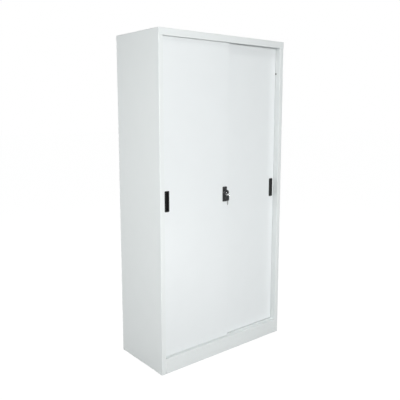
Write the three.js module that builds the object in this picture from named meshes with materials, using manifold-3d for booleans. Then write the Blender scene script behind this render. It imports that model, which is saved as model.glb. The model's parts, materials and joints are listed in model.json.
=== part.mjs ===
// A white steel office cabinet with two sliding doors that overlap, a cam lock and four shelves.
// Millimetres, +Z up, the front faces -Y. The origin is on the floor, under the middle of the whole object.
import * as THREE from "three";
import { mergeVertices } from "three/addons/utils/BufferGeometryUtils.js";
import Module from "manifold-3d";

const wasm = await Module();
wasm.setup();

// The carcass
const cabinetWidth = 900;
const cabinetDepth = 400;
const cabinetHeight = 1800;
const sheet = 0.8;
const bendRadius = 1.2; // inside a fold
const seam = 0.3; // left between two pieces that touch
const overrun = 5; // how far a cut runs past the face that it opens
const grid = 0.001; // points are rounded to this

// The side panels: each is folded into a hollow post at the front, which is the jamb of the doors
const jambWidth = 27;
const postClearance = 8; // from the rear door to the inner flange of the post
const postLip = 17;
const rearFlange = 20;
const weldFlange = 16; // folded in at the floor and under the top
const cornerNotch = 6;

// The top panel, whose front edge is the rail above the doors
const railHeight = 36;
const railReturn = 10;
const topRearFlange = 22;

// The base
const sillHeight = 85;
const plinthLedge = 16;
const plinthFoot = 22;
const deckFlange = 20;

// The doors
const doorThickness = 14;
const doorRecess = 16; // from the front of the cabinet to the face of the front door
const doorSpacing = 5; // between the two doors
const doorOverlap = 62;
const doorSideGap = 2;
const doorAboveRail = 16; // how far a door rises behind the rail
const doorLip = 12;
const doorRibGap = 0.3; // between a door's lower edge and the ribs of the track
const stiffenerWidth = 60;
const stiffenerBrim = 14;

// The tracks
const trackBase = 0.8;
const ribHeight = 2.4;
const ribWidth = 2;
const trackMargin = 7;
const lipThickness = 1;
const lipOverlap = 10; // how far the lips of the top track reach below the top of a door

// The rollers and guides
const rollerTread = 8; // radius at the bottom of the groove
const rollerRibGap = 0.15;
const flangeClearance = 0.6; // from a roller's flange to the base of the track
const grooveWidth = 2.8;
const grooveSlope = 0.7;
const rollerSideGap = 0.4;
const axleRadius = 3;
const axleClearance = 0.1;
const bracketSheet = 1.2;
const bracketLength = 34;
const rollerInset = 60; // from the door's edge to an axle
const slotClearance = 1.5;
const guideLength = 32;
const guideHeight = 12;
const guideGap = 0.3;

// The cup handles
const handleLength = 110;
const handleWidth = 29;
const handleEdge = 9; // from the door's outer edge
const handleProud = 1;
const handleCorner = 4;
const handleRim = 3.2;
const cupWall = 1.4;
const cupDepth = 10.5;
const cupShallow = 3; // depth of the sloping floor on its outer side
const cupUndercut = 2.2;
const cupLip = 1.8;

// The lock, on the front door near its inner edge
const lockPlateWidth = 29;
const lockPlateLength = 84;
const lockPlateThickness = 6;
const lockPlateCorner = 3;
const lockPlateChamfer = 1.5;
const lockInset = 30.5; // from the door's edge to the axis of the lock
const lockRise = 14; // of the axis above the middle of the plate, which is level with the handles
const barrelRadius = 8;
const barrelRim = 1.2;
const barrelRimWidth = 1.2;
const barrelFit = 0.3;
const nutWidth = 24;
const nutThickness = 4;
const nutSides = 6;
const plugRadius = 6;
const plugFit = 0.1;
const plugProud = 0.6;
const tailWidth = 5;
const tailFit = 0.3;
const camSheet = 1.5;
const camLength = 22;
const camWidth = 10;
const camHubRadius = 7;
const camGap = 1; // behind the door's back plane
const tailPastCam = 0.5;

// The strike on the rear door
const strikeSheet = 1.2;
const strikeReach = 4;
const strikeFoot = 18;
const strikeHeight = 16;
const strikeGap = 0.8; // between the locked cam and the strike
const strikeClearance = 3; // above the hub of the cam

// The keys and their ring
const bowLength = 23;
const bowHeight = 22;
const bowThickness = 7;
const bowCorner = 8;
const bowChamfer = 1;
const keyNeck = 2.4;
const collarThickness = 4;
const bladeThickness = 2;
const bladeHeight = 8;
const bladeLength = 20;
const keyFit = 0.3;
const bowHole = 2.6;
const bowHoleInset = 6;
const ringRadius = 12;
const ringWire = 1;
const spareHeadLength = 30;
const spareHeadWidth = 20;
const spareBladeLength = 24;
const spareHoleInset = 6;

// The shelves and what carries them
const uprightWidth = 28;
const uprightDepth = 12;
const uprightFront = 96; // from the front of the cabinet to the middle of a front upright
const uprightRear = 352;
const slotPitch = 48;
const slotWidth = 18;
const slotHeight = 6;
const slotStart = 40; // above the sill
const shelfCount = 4;
const slotsPerShelf = 7;
const lowerSlotCount = 5; // slots below the one that holds the first shelf
const shelfFlange = 25;
const shelfLip = 10;
const shelfFrontGap = 6;
const shelfRearGap = 8;
const shelfEndGap = 1.5;
const clipSheet = 1.5;
const clipWidth = 14;
const clipBend = 0.5;
const clipHook = 9;
const clipDrop = 20; // from the tongue of a clip up to its ledge
const clipLedge = 14;

// The rubber buffers on the jambs
const bufferLength = 22;
const bufferWidth = 7;
const bufferClearance = 0.4;
const bufferDrop = 184; // from the top of the cabinet to the middle of a buffer

// Counts of facets
const bendSteps = 3;
const roundSteps = 6;
const rollerFacets = 24;
const pinFacets = 16;
const wireFacets = 8;
const ringFacets = 28;

// Places that follow from the sizes. X runs from the left side, Y back from the front, Z up from the floor.
const doorPitch = doorThickness + doorSpacing;
const frontDoorY = doorRecess;
const rearDoorY = doorRecess + doorPitch;
const postDepth = rearDoorY + doorThickness + postClearance;
const openingLeft = jambWidth + seam;
const openingRight = cabinetWidth - openingLeft;
const doorWidth = (cabinetWidth - 2 * (jambWidth + doorSideGap) + doorOverlap) / 2;
const frontDoorX = jambWidth + doorSideGap;
const rearDoorX = cabinetWidth - frontDoorX - doorWidth;
const underTop = cabinetHeight - sheet - seam;
const railBottom = cabinetHeight - railHeight;
const backPanelY = cabinetDepth - 2 * sheet - seam;
const insideLeft = sheet + seam;
const ribTop = sillHeight + seam + trackBase + ribHeight;
const doorBottom = ribTop + doorRibGap;
const doorTop = railBottom + doorAboveRail;
const handleCentre = (doorBottom + doorTop) / 2;
const axleZ = ribTop + rollerRibGap + rollerTread;
const bufferZ = cabinetHeight - bufferDrop;
const rollerFlangeRadius = rollerTread + ribHeight - flangeClearance;
const bracketWidth = doorThickness - 2 * (sheet + seam);
const rollerWidth = bracketWidth - 2 * (bracketSheet + rollerSideGap);
const uprightFace = insideLeft + uprightDepth;
const lockX = frontDoorX + doorWidth - lockInset;
const lockZ = handleCentre + lockRise;
const lockPlateY = frontDoorY - lockPlateThickness;
const plugY = lockPlateY - barrelRim - plugProud;
const camY = frontDoorY + doorThickness + camGap;
const bowEndY = plugY - keyNeck - bowLength;
const ringY = bowEndY + bowHoleInset;
const keyProud = Math.max(-bowEndY, spareHeadWidth / 2 - ringY);

// Solids

// A closed three.js geometry as a solid that can be joined and cut. Its points are rounded to a fine grid, so
// that faces meant to lie in one plane do.
function solid(geometry) {
  geometry.deleteAttribute("normal");
  geometry.deleteAttribute("uv");
  const merged = mergeVertices(geometry);
  const vertProperties = merged.attributes.position.array.map((v) => Math.round(v / grid) * grid);
  const triVerts = new Uint32Array(merged.index.array);
  return new wasm.Manifold(new wasm.Mesh({ numProp: 3, vertProperties, triVerts }));
}

function box(x0, x1, y0, y1, z0, z1) {
  const geometry = new THREE.BoxGeometry(x1 - x0, y1 - y0, z1 - z0);
  return solid(geometry.translate((x0 + x1) / 2, (y0 + y1) / 2, (z0 + z1) / 2));
}

// A cylinder along Y.
function cylinderY(radius, x, y0, y1, z, facets) {
  const geometry = new THREE.CylinderGeometry(radius, radius, y1 - y0, facets);
  return solid(geometry.translate(x, (y0 + y1) / 2, z));
}

// Joins solids into one.
function join(...solids) {
  return solids.reduce((whole, piece) => whole.add(piece));
}

// Takes solids away from the first one.
function cut(body, ...tools) {
  return tools.reduce((rest, tool) => rest.subtract(tool), body);
}

// Extrudes a section along one axis. The section's own two axes are Y and Z for X, X and Z for Y, X and Y for Z.
function extrude(section, axis, from, to, bevel = 0) {
  const geometry = new THREE.ExtrudeGeometry(section, {
    depth: to - from - 2 * bevel,
    curveSegments: roundSteps,
    bevelEnabled: bevel > 0,
    bevelSize: bevel,
    bevelOffset: -bevel,
    bevelThickness: bevel,
    bevelSegments: 1,
  });
  geometry.translate(0, 0, bevel);
  const x = new THREE.Vector3(1, 0, 0);
  const y = new THREE.Vector3(0, 1, 0);
  const z = new THREE.Vector3(0, 0, 1);
  const turn = new THREE.Matrix4();
  if (axis === "x") turn.makeBasis(y, z, x).setPosition(from, 0, 0);
  if (axis === "y") turn.makeBasis(x, z, y.clone().negate()).setPosition(0, to, 0);
  if (axis === "z") turn.makeBasis(x, y, z).setPosition(0, 0, from);
  return solid(geometry.applyMatrix4(turn));
}

// The section of a folded sheet. The corners are the sharp corners of one of its faces, in order. The metal lies
// on the left of that path, or on its right if the thickness is negative. Each fold is round.
function foldedSheet(corners, thickness, radius = bendRadius) {
  const points = corners.map(([u, v]) => new THREE.Vector2(u, v));
  const last = points.length - 1;
  const along = points.slice(1).map((p, i) => p.clone().sub(points[i]).normalize());
  const leftOf = (d) => new THREE.Vector2(-d.y, d.x);
  const near = [points[0].clone()];
  const far = [points[0].clone().addScaledVector(leftOf(along[0]), thickness)];
  for (let i = 1; i < last; i++) {
    const turn = along[i - 1].cross(along[i]);
    const side = Math.sign(turn);
    const angle = Math.acos(along[i - 1].dot(along[i]));
    const reach = Math.tan(angle / 2);
    const shorter = Math.min(points[i].distanceTo(points[i - 1]), points[i].distanceTo(points[i + 1]));
    const outside = side * thickness > 0 ? Math.abs(thickness) : 0;
    const nearRadius = Math.min(radius + outside, shorter / 2 / reach);
    const farRadius = nearRadius - side * thickness;
    const inward = leftOf(along[i - 1]).multiplyScalar(side);
    const centre = points[i].clone().addScaledVector(along[i - 1], -nearRadius * reach);
    centre.addScaledVector(inward, nearRadius);
    for (let step = 0; step <= bendSteps; step++) {
      const out = inward.clone().rotateAround(new THREE.Vector2(), (side * angle * step) / bendSteps);
      near.push(centre.clone().addScaledVector(out, -nearRadius));
      far.push(centre.clone().addScaledVector(out, -farRadius));
    }
  }
  near.push(points[last].clone());
  far.push(points[last].clone().addScaledVector(leftOf(along[last - 1]), thickness));
  return new THREE.Shape([...near, ...far.reverse()]);
}

function roundedRectangle(u0, u1, v0, v1, radius) {
  const shape = new THREE.Shape();
  shape.absarc(u1 - radius, v0 + radius, radius, -Math.PI / 2, 0);
  shape.absarc(u1 - radius, v1 - radius, radius, 0, Math.PI / 2);
  shape.absarc(u0 + radius, v1 - radius, radius, Math.PI / 2, Math.PI);
  shape.absarc(u0 + radius, v0 + radius, radius, Math.PI, 1.5 * Math.PI);
  return shape;
}

// Finishes, one for each kind of surface
function finish(color, roughness, metalness) {
  return new THREE.MeshStandardMaterial({ color, roughness, metalness, flatShading: true });
}
const whiteCoat = finish(0xeef1f0, 0.45, 0);
const zincSteel = finish(0xb9bcbd, 0.35, 0.9);
const blackPlastic = finish(0x1b1d1e, 0.5, 0);
const whiteNylon = finish(0xf2f1ea, 0.5, 0);
const chrome = finish(0xd8dadc, 0.12, 1);
const blackRubber = finish(0x222222, 0.9, 0);

// Makes a solid into a named mesh of a group.
function place(group, name, body, material) {
  const made = body.getMesh();
  const geometry = new THREE.BufferGeometry();
  geometry.setAttribute("position", new THREE.BufferAttribute(made.vertProperties, 3));
  geometry.setIndex(new THREE.BufferAttribute(made.triVerts, 1));
  const mesh = new THREE.Mesh(geometry, material);
  mesh.name = name;
  group.add(mesh);
  return mesh;
}

// Turns a mesh made for the left side into its mirror image on the right side.
function mirrorToRight(mesh) {
  mesh.scale.x = -1;
  mesh.position.x = cabinetWidth - mesh.position.x;
  return mesh;
}

// The carcass

// One sheet folded into a post in front, the outer wall, and a flange for the back panel. The rail and the rear
// flange of the top panel lie flush in front of and behind it, so its own flanges stop below them.
function sidePanel() {
  const section = foldedSheet(
    [
      [jambWidth - postLip, postDepth],
      [jambWidth, postDepth],
      [jambWidth, 0],
      [0, 0],
      [0, cabinetDepth],
      [rearFlange, cabinetDepth],
    ],
    -sheet,
  );
  const flangeFront = postDepth + cornerNotch;
  const flangeBack = cabinetDepth - cornerNotch;
  const floorFlange = box(sheet / 2, weldFlange, flangeFront, flangeBack, 0, sheet);
  const topFlange = box(sheet / 2, weldFlange, flangeFront, flangeBack, underTop - sheet, underTop);
  const past = Math.max(jambWidth, rearFlange) + overrun;
  const underRail = box(-overrun, past, -overrun, sheet + seam, railBottom - seam, underTop + overrun);
  const rearTop = cabinetHeight - topRearFlange - seam;
  const rearCutY = cabinetDepth - sheet - seam;
  const underRear = box(-overrun, past, rearCutY, cabinetDepth + overrun, rearTop, underTop + overrun);
  // The folds of the top panel are round inside, so the upper corners are clipped.
  const clip = sheet + bendRadius;
  const reliefs = [-overrun, cabinetDepth - clip].map((y) =>
    box(-overrun, past, y, y + overrun + clip, underTop - bendRadius, underTop + overrun),
  );
  return cut(join(extrude(section, "z", 0, underTop), floorFlange, topFlange), underRail, underRear, ...reliefs);
}

function topPanel() {
  const section = foldedSheet(
    [
      [0, railBottom],
      [0, cabinetHeight],
      [cabinetDepth, cabinetHeight],
      [cabinetDepth, cabinetHeight - topRearFlange],
    ],
    -sheet,
  );
  const lowerReturn = box(openingLeft, openingRight, sheet / 2, railReturn, railBottom, railBottom + sheet);
  return join(extrude(section, "x", 0, cabinetWidth), lowerReturn);
}

function backPanel() {
  const left = insideLeft + bendRadius;
  return box(left, cabinetWidth - left, backPanelY, backPanelY + sheet, sheet + seam, underTop - bendRadius);
}

// The floor of the cabinet. It is notched round the posts, and its front edge is the sill.
function deck() {
  const rear = backPanelY - seam;
  const notch = postDepth + seam;
  const right = cabinetWidth - insideLeft;
  const low = sillHeight - deckFlange;
  const section = foldedSheet(
    [
      [0, sillHeight],
      [rear, sillHeight],
      [rear, low],
    ],
    -sheet,
  );
  const flanges = [insideLeft, right - sheet].map((x) =>
    box(x, x + sheet, notch + cornerNotch, rear - cornerNotch, low, sillHeight - sheet / 2),
  );
  const notches = [
    [insideLeft - overrun, openingLeft],
    [openingRight, right + overrun],
  ].map(([x0, x1]) => box(x0, x1, -overrun, notch, low, sillHeight + overrun));
  return cut(join(extrude(section, "x", insideLeft, right), ...flanges), ...notches);
}

function plinth() {
  const top = sillHeight - sheet - seam;
  const section = foldedSheet(
    [
      [plinthLedge, top],
      [0, top],
      [0, 0],
      [plinthFoot, 0],
    ],
    sheet,
  );
  return extrude(section, "x", openingLeft, openingRight);
}

// The tracks

function topTrack() {
  const firstLip = frontDoorY - (doorSpacing + lipThickness) / 2;
  const lips = [0, 1, 2].map((k) => {
    const y = firstLip + k * doorPitch;
    return box(openingLeft, openingRight, y, y + lipThickness, doorTop - lipOverlap, underTop - lipThickness / 2);
  });
  const back = firstLip + 2 * doorPitch + lipThickness;
  const base = box(openingLeft, openingRight, firstLip, back, underTop - lipThickness, underTop);
  return join(base, ...lips);
}

function bottomTrack() {
  const low = sillHeight + seam;
  const middles = [frontDoorY + doorThickness / 2, rearDoorY + doorThickness / 2];
  const base = box(openingLeft, openingRight, middles[0] - trackMargin, middles[1] + trackMargin, low, low + trackBase);
  const ribs = middles.map((y) =>
    box(openingLeft, openingRight, y - ribWidth / 2, y + ribWidth / 2, low + trackBase / 2, ribTop),
  );
  return join(base, ...ribs);
}

// The shelves and what carries them

// A slotted channel that stands against the side panel.
function upright(middle) {
  const section = foldedSheet(
    [
      [insideLeft, middle - uprightWidth / 2],
      [uprightFace, middle - uprightWidth / 2],
      [uprightFace, middle + uprightWidth / 2],
      [insideLeft, middle + uprightWidth / 2],
    ],
    sheet,
  );
  const top = underTop - sheet - seam;
  const slots = [];
  for (let z = sillHeight + slotStart; z + slotHeight < top - slotHeight; z += slotPitch) {
    const x = uprightFace - sheet - sheet;
    const y = middle - slotWidth / 2;
    slots.push(box(x, uprightFace + overrun, y, y + slotWidth, z - slotHeight / 2, z + slotHeight / 2));
  }
  return cut(extrude(section, "z", sillHeight + seam, top), ...slots);
}

// The height of the slot that the clips of a shelf hook into.
function shelfSlot(index) {
  return sillHeight + slotStart + (lowerSlotCount + index * slotsPerShelf) * slotPitch;
}

const ledgeAboveSlot = clipDrop + clipSheet / 2;

// A clip bent from one strip: it hooks up behind the upright, comes out through a slot, climbs its face and
// turns out into the ledge that the shelf lies on.
function shelfClip(middle, index) {
  const tongue = shelfSlot(index) + clipSheet / 2;
  const behind = uprightFace - sheet - seam;
  const front = uprightFace + seam;
  const ledge = shelfSlot(index) + ledgeAboveSlot;
  const section = foldedSheet(
    [
      [behind, tongue + clipHook],
      [behind, tongue],
      [front, tongue],
      [front, ledge],
      [front + clipLedge, ledge],
    ],
    -clipSheet,
    clipBend,
  );
  return extrude(section, "y", middle - clipWidth / 2, middle + clipWidth / 2);
}

function shelf(index) {
  const low = shelfSlot(index) + ledgeAboveSlot + seam;
  const high = low + shelfFlange;
  const front = postDepth + shelfFrontGap;
  const rear = backPanelY - shelfRearGap;
  const left = uprightFace + seam + clipSheet + shelfEndGap;
  const right = cabinetWidth - left;
  const section = foldedSheet(
    [
      [front + shelfLip, low],
      [front, low],
      [front, high],
      [rear, high],
      [rear, low],
      [rear - shelfLip, low],
    ],
    -sheet,
  );
  const inset = bendRadius + sheet;
  const ends = [left, right - sheet].map((x) =>
    box(x, x + sheet, front + inset, rear - inset, low + sheet / 2, high - sheet / 2),
  );
  return join(extrude(section, "x", left, right), ...ends);
}

// A rubber buffer on the jamb, which both doors can run against.
function buffer() {
  const middle = (frontDoorY + rearDoorY + doorThickness) / 2;
  const outline = roundedRectangle(
    middle - bufferLength / 2,
    middle + bufferLength / 2,
    bufferZ - bufferWidth / 2,
    bufferZ + bufferWidth / 2,
    bufferWidth / 2,
  );
  return extrude(outline, "x", openingLeft, frontDoorX - bufferClearance);
}

// The doors. These pieces are made for a door whose left edge is at x and whose face is at y.

// A pan folded from one sheet, with a slot over each roller and an opening for the cup handle.
function doorSkin(x, y, handleX, ...openings) {
  const back = y + doorThickness;
  const right = x + doorWidth;
  const section = foldedSheet(
    [
      [x + doorLip, back],
      [x, back],
      [x, y],
      [right, y],
      [right, back],
      [right - doorLip, back],
    ],
    sheet,
  );
  const half = sheet / 2;
  const corner = bendRadius + half;
  const cap = roundedRectangle(x + half, right - half, y + half, back - half, corner);
  const lower = extrude(cap, "z", doorBottom, doorBottom + sheet);
  const upper = extrude(cap, "z", doorTop - sheet, doorTop);
  const inset = bendRadius + sheet;
  const lips = [doorBottom, doorTop - doorLip].map((z) =>
    box(x + inset, right - inset, back - sheet, back, z, z + doorLip),
  );
  const slots = [x + rollerInset, right - rollerInset].map((axle) => {
    const reach = rollerFlangeRadius + slotClearance;
    const middle = y + doorThickness / 2;
    const side = rollerWidth / 2 + rollerSideGap;
    return box(axle - reach, axle + reach, middle - side, middle + side, doorBottom - overrun, doorBottom + sheet + seam);
  });
  const pan = join(extrude(section, "z", doorBottom, doorTop), lower, upper, ...lips);
  const low = handleCentre - handleLength / 2 + handleRim - seam;
  const high = handleCentre + handleLength / 2 - handleRim + seam;
  const cupLeft = handleX + handleRim - seam;
  const cupRight = handleX + handleWidth - handleRim + seam;
  const cupHole = box(cupLeft, cupRight, y - overrun, y + 2 * sheet, low, high);
  return cut(pan, cupHole, ...slots, ...openings);
}

// A hat section behind the middle of the door's face.
function stiffener(x, y) {
  const middle = x + doorWidth / 2;
  const near = y + sheet + seam;
  const crown = y + doorThickness - 2 * sheet - seam;
  const section = foldedSheet(
    [
      [middle - stiffenerWidth / 2 - stiffenerBrim, near],
      [middle - stiffenerWidth / 2, near],
      [middle - stiffenerWidth / 2, crown],
      [middle + stiffenerWidth / 2, crown],
      [middle + stiffenerWidth / 2, near],
      [middle + stiffenerWidth / 2 + stiffenerBrim, near],
    ],
    sheet,
  );
  return extrude(section, "z", doorBottom + sheet + seam, doorTop - sheet - seam);
}

// A cup whose floor slopes from the outer side down to an undercut that the fingers pull on. It is made for the
// left door, and turned round for the right one.
function cupHandle(x, y) {
  const low = handleCentre - handleLength / 2;
  const high = handleCentre + handleLength / 2;
  const right = x + handleWidth;
  const outline = roundedRectangle(x, right, low, high, handleCorner);
  const plateBack = y - seam;
  const plate = extrude(outline, "y", y - handleProud - seam, plateBack + handleProud, handleProud / 2);
  const front = box(x - overrun, right + overrun, y - handleProud - overrun, plateBack, low - overrun, high + overrun);
  const cupOutline = roundedRectangle(
    x + handleRim,
    right - handleRim,
    low + handleRim,
    high - handleRim,
    handleCorner - cupWall,
  );
  const cup = extrude(cupOutline, "y", plateBack - handleProud / 2, y + cupDepth);
  const inner = x + handleRim + cupWall;
  const outer = right - handleRim - cupWall;
  const floor = y + cupDepth - cupWall;
  const hollow = new THREE.Shape(
    [
      [inner, y - overrun],
      [outer - cupUndercut, y - overrun],
      [outer - cupUndercut, y + cupLip],
      [outer, y + cupLip + cupUndercut],
      [outer, floor],
      [outer - cupUndercut - cupUndercut, floor],
      [inner, y + cupShallow],
    ].map(([u, v]) => new THREE.Vector2(u, v)),
  );
  const end = handleRim + cupWall;
  return cut(join(plate.intersect(front), cup), extrude(hollow, "z", low + end, high - end));
}

// An upside-down channel with the axle riveted across it.
function rollerBracket(axle, y) {
  const middle = y + doorThickness / 2;
  const half = bracketWidth / 2;
  const top = axleZ + rollerFlangeRadius + slotClearance + bracketSheet;
  const low = doorBottom + sheet + seam;
  const section = foldedSheet(
    [
      [middle - half, low],
      [middle - half, top],
      [middle + half, top],
      [middle + half, low],
    ],
    -bracketSheet,
    bracketSheet / 2,
  );
  const channel = extrude(section, "x", axle - bracketLength / 2, axle + bracketLength / 2);
  const pin = cylinderY(axleRadius, axle, middle - half + bracketSheet / 2, middle + half - bracketSheet / 2, axleZ, pinFacets);
  return join(channel, pin);
}

// A nylon wheel whose groove rides on the rib of the track.
function roller(axle, y) {
  const middle = y + doorThickness / 2;
  const half = rollerWidth / 2;
  const bore = axleRadius + axleClearance;
  const grooveTop = grooveWidth / 2 + grooveSlope;
  const profile = [
    [bore, -half],
    [rollerFlangeRadius, -half],
    [rollerFlangeRadius, -grooveTop],
    [rollerTread, -grooveWidth / 2],
    [rollerTread, grooveWidth / 2],
    [rollerFlangeRadius, grooveTop],
    [rollerFlangeRadius, half],
    [bore, half],
    [bore, -half],
  ].map(([r, v]) => new THREE.Vector2(r, v));
  return solid(new THREE.LatheGeometry(profile, rollerFacets).translate(axle, middle, axleZ));
}

// A nylon block on top of the door, which runs between two lips of the top track.
function topGuide(centre, y) {
  const half = (doorPitch - lipThickness) / 2 - guideGap;
  const middle = y + doorThickness / 2;
  const outline = roundedRectangle(
    centre - guideLength / 2,
    centre + guideLength / 2,
    middle - half,
    middle + half,
    half / 2,
  );
  return extrude(outline, "z", doorTop + seam, doorTop + seam + guideHeight);
}

// The lock

function lockPlate() {
  const x = lockX - lockPlateWidth / 2;
  const low = handleCentre - lockPlateLength / 2;
  const outline = roundedRectangle(x, x + lockPlateWidth, low, low + lockPlateLength, lockPlateCorner);
  const back = frontDoorY - seam;
  const raised = extrude(outline, "y", lockPlateY, back + 2 * lockPlateChamfer, lockPlateChamfer);
  const high = low + lockPlateLength;
  const right = x + lockPlateWidth;
  const keep = box(x - overrun, right + overrun, lockPlateY - overrun, back, low - overrun, high + overrun);
  const bore = cylinderY(barrelRadius + barrelFit, lockX, lockPlateY - overrun, back + overrun, lockZ, rollerFacets);
  return cut(raised.intersect(keep), bore);
}

// The fixed housing of the lock: a rim in front of the plate, the barrel through the door, and its nut.
function lockBarrel() {
  const rimRadius = barrelRadius + barrelFit + barrelRimWidth;
  const rimBack = lockPlateY - seam;
  const rim = cylinderY(rimRadius, lockX, rimBack - barrelRim + seam, rimBack, lockZ, rollerFacets);
  const back = frontDoorY + doorThickness;
  const tube = cylinderY(barrelRadius, lockX, rimBack - barrelRim / 2, back, lockZ, rollerFacets);
  const nutY = frontDoorY + sheet + seam;
  const nutRadius = nutWidth / 2 / Math.cos(Math.PI / nutSides);
  const nut = cylinderY(nutRadius, lockX, nutY, nutY + nutThickness, lockZ, nutSides);
  const bore = cylinderY(plugRadius + plugFit, lockX, plugY - overrun, back + overrun, lockZ, rollerFacets);
  return cut(join(rim, tube, nut), bore);
}

// The part that the key turns, with the keyway in front and the square tail that drives the cam.
function lockPlug() {
  const back = frontDoorY + doorThickness + camGap / 2;
  const core = cylinderY(plugRadius, lockX, plugY, back, lockZ, rollerFacets);
  const half = tailWidth / 2;
  const tailBack = camY + camSheet + tailPastCam;
  const tail = box(lockX - half, lockX + half, back - camGap / 2, tailBack, lockZ - half, lockZ + half);
  const side = bladeThickness / 2 + keyFit;
  const rise = bladeHeight / 2 + keyFit;
  const bottom = plugY + bladeLength + keyFit;
  const keyway = box(lockX - side, lockX + side, plugY - overrun, bottom, lockZ - rise, lockZ + rise);
  return cut(join(core, tail), keyway);
}

// The cam points to the left when the lock is open, and up, beside the strike, when it is locked.
function lockCam() {
  const end = camWidth / 2;
  const hub = cylinderY(camHubRadius, lockX, camY, camY + camSheet, lockZ, rollerFacets);
  const arm = roundedRectangle(lockX - camLength, lockX, lockZ - end, lockZ + end, end / 2);
  const half = tailWidth / 2 + tailFit;
  const hole = box(lockX - half, lockX + half, camY - overrun, camY + overrun, lockZ - half, lockZ + half);
  return cut(join(hub, extrude(arm, "y", camY, camY + camSheet)), hole);
}

// An angle on the rear door. The raised cam stands on the left of its tab, so neither door can open.
function strike() {
  const left = lockX + camWidth / 2 + strikeGap;
  const face = rearDoorY - seam;
  const low = lockZ + camHubRadius + strikeClearance;
  const section = foldedSheet(
    [
      [left + strikeFoot, face],
      [left, face],
      [left, rearDoorY - strikeReach],
    ],
    strikeSheet,
    strikeSheet / 2,
  );
  return extrude(section, "z", low, low + strikeHeight);
}

// The keys

// The key in the lock: a flat moulded bow across the end of a steel blade, with the hole for the ring.
function key() {
  const neck = plugY - keyFit;
  const bowBack = plugY - keyNeck;
  const outline = roundedRectangle(
    bowEndY,
    bowBack,
    lockZ - bowHeight / 2,
    lockZ + bowHeight / 2,
    bowCorner,
  );
  const drop = ringRadius - Math.sqrt(ringRadius ** 2 - (bowThickness / 2) ** 2);
  const holeZ = lockZ - drop - ringWire - seam + bowHole;
  outline.holes.push(new THREE.Path().absarc(ringY, holeZ, bowHole, 0, 2 * Math.PI, true));
  const bow = extrude(outline, "x", lockX - bowThickness / 2, lockX + bowThickness / 2, bowChamfer);
  const side = bladeThickness / 2;
  const rise = bladeHeight / 2;
  const blade = box(lockX - side, lockX + side, bowBack - bowChamfer, plugY + bladeLength, lockZ - rise, lockZ + rise);
  const collarRise = rise + (neck - bowBack) / 2;
  const collarSide = collarThickness / 2;
  const collar = box(
    lockX - collarSide,
    lockX + collarSide,
    bowBack - bowChamfer,
    neck,
    lockZ - collarRise,
    lockZ + collarRise,
  );
  return join(bow, blade, collar);
}

// A split ring, drawn as one turn of round wire, that hangs in the bow of the key.
function keyRing() {
  const geometry = new THREE.TorusGeometry(ringRadius, ringWire, wireFacets, ringFacets);
  geometry.rotateX(Math.PI / 2).translate(lockX, ringY, lockZ - ringRadius);
  return solid(geometry);
}

// A second key that hangs on the ring.
function spareKey() {
  const wireZ = lockZ - 2 * ringRadius;
  const rise = ringRadius - Math.sqrt(ringRadius ** 2 - (bowThickness / 2) ** 2);
  const holeZ = wireZ + rise + ringWire + seam - bowHole;
  const top = holeZ + spareHoleInset;
  const headLow = top - spareHeadLength;
  const outline = roundedRectangle(
    ringY - spareHeadWidth / 2,
    ringY + spareHeadWidth / 2,
    headLow,
    top,
    bowCorner,
  );
  outline.holes.push(new THREE.Path().absarc(ringY, holeZ, bowHole, 0, 2 * Math.PI, true));
  const head = extrude(outline, "x", lockX - bowThickness / 2, lockX + bowThickness / 2, bowChamfer);
  const side = bladeThickness / 2;
  const half = bladeHeight / 2;
  const tip = headLow - spareBladeLength;
  const bladeOutline = new THREE.Shape(
    [
      [ringY - half, headLow + bowChamfer],
      [ringY - half, tip + half],
      [ringY, tip],
      [ringY + half, tip + half],
      [ringY + half, headLow + bowChamfer],
    ].map(([u, v]) => new THREE.Vector2(u, v)),
  );
  return join(head, extrude(bladeOutline, "x", lockX - side, lockX + side));
}

// The assembly. Each body that moves on its own is a group.

const cabinet = new THREE.Group();
cabinet.position.set(-cabinetWidth / 2, (keyProud - cabinetDepth) / 2, 0);
const leftDoor = new THREE.Group();
const rightDoor = new THREE.Group();
const turningLock = new THREE.Group();
cabinet.add(leftDoor, rightDoor);
leftDoor.add(turningLock);

place(cabinet, "left_side_panel", sidePanel(), whiteCoat);
mirrorToRight(place(cabinet, "right_side_panel", sidePanel(), whiteCoat));
place(cabinet, "top_panel", topPanel(), whiteCoat);
place(cabinet, "back_panel", backPanel(), whiteCoat);
place(cabinet, "bottom_panel", deck(), whiteCoat);
place(cabinet, "plinth", plinth(), whiteCoat);
place(cabinet, "top_track", topTrack(), whiteCoat);
place(cabinet, "bottom_track", bottomTrack(), whiteCoat);
place(cabinet, "left_door_buffer", buffer(), blackRubber);
mirrorToRight(place(cabinet, "right_door_buffer", buffer(), blackRubber));

for (const [where, middle] of [
  ["front", uprightFront],
  ["rear", uprightRear],
]) {
  place(cabinet, `left_${where}_upright`, upright(middle), whiteCoat);
  mirrorToRight(place(cabinet, `right_${where}_upright`, upright(middle), whiteCoat));
  for (let index = 0; index < shelfCount; index++) {
    const clip = () => shelfClip(middle, index);
    place(cabinet, `left_${where}_clip_${index + 1}`, clip(), zincSteel);
    mirrorToRight(place(cabinet, `right_${where}_clip_${index + 1}`, clip(), zincSteel));
  }
}
for (let index = 0; index < shelfCount; index++) place(cabinet, `shelf_${index + 1}`, shelf(index), whiteCoat);

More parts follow.
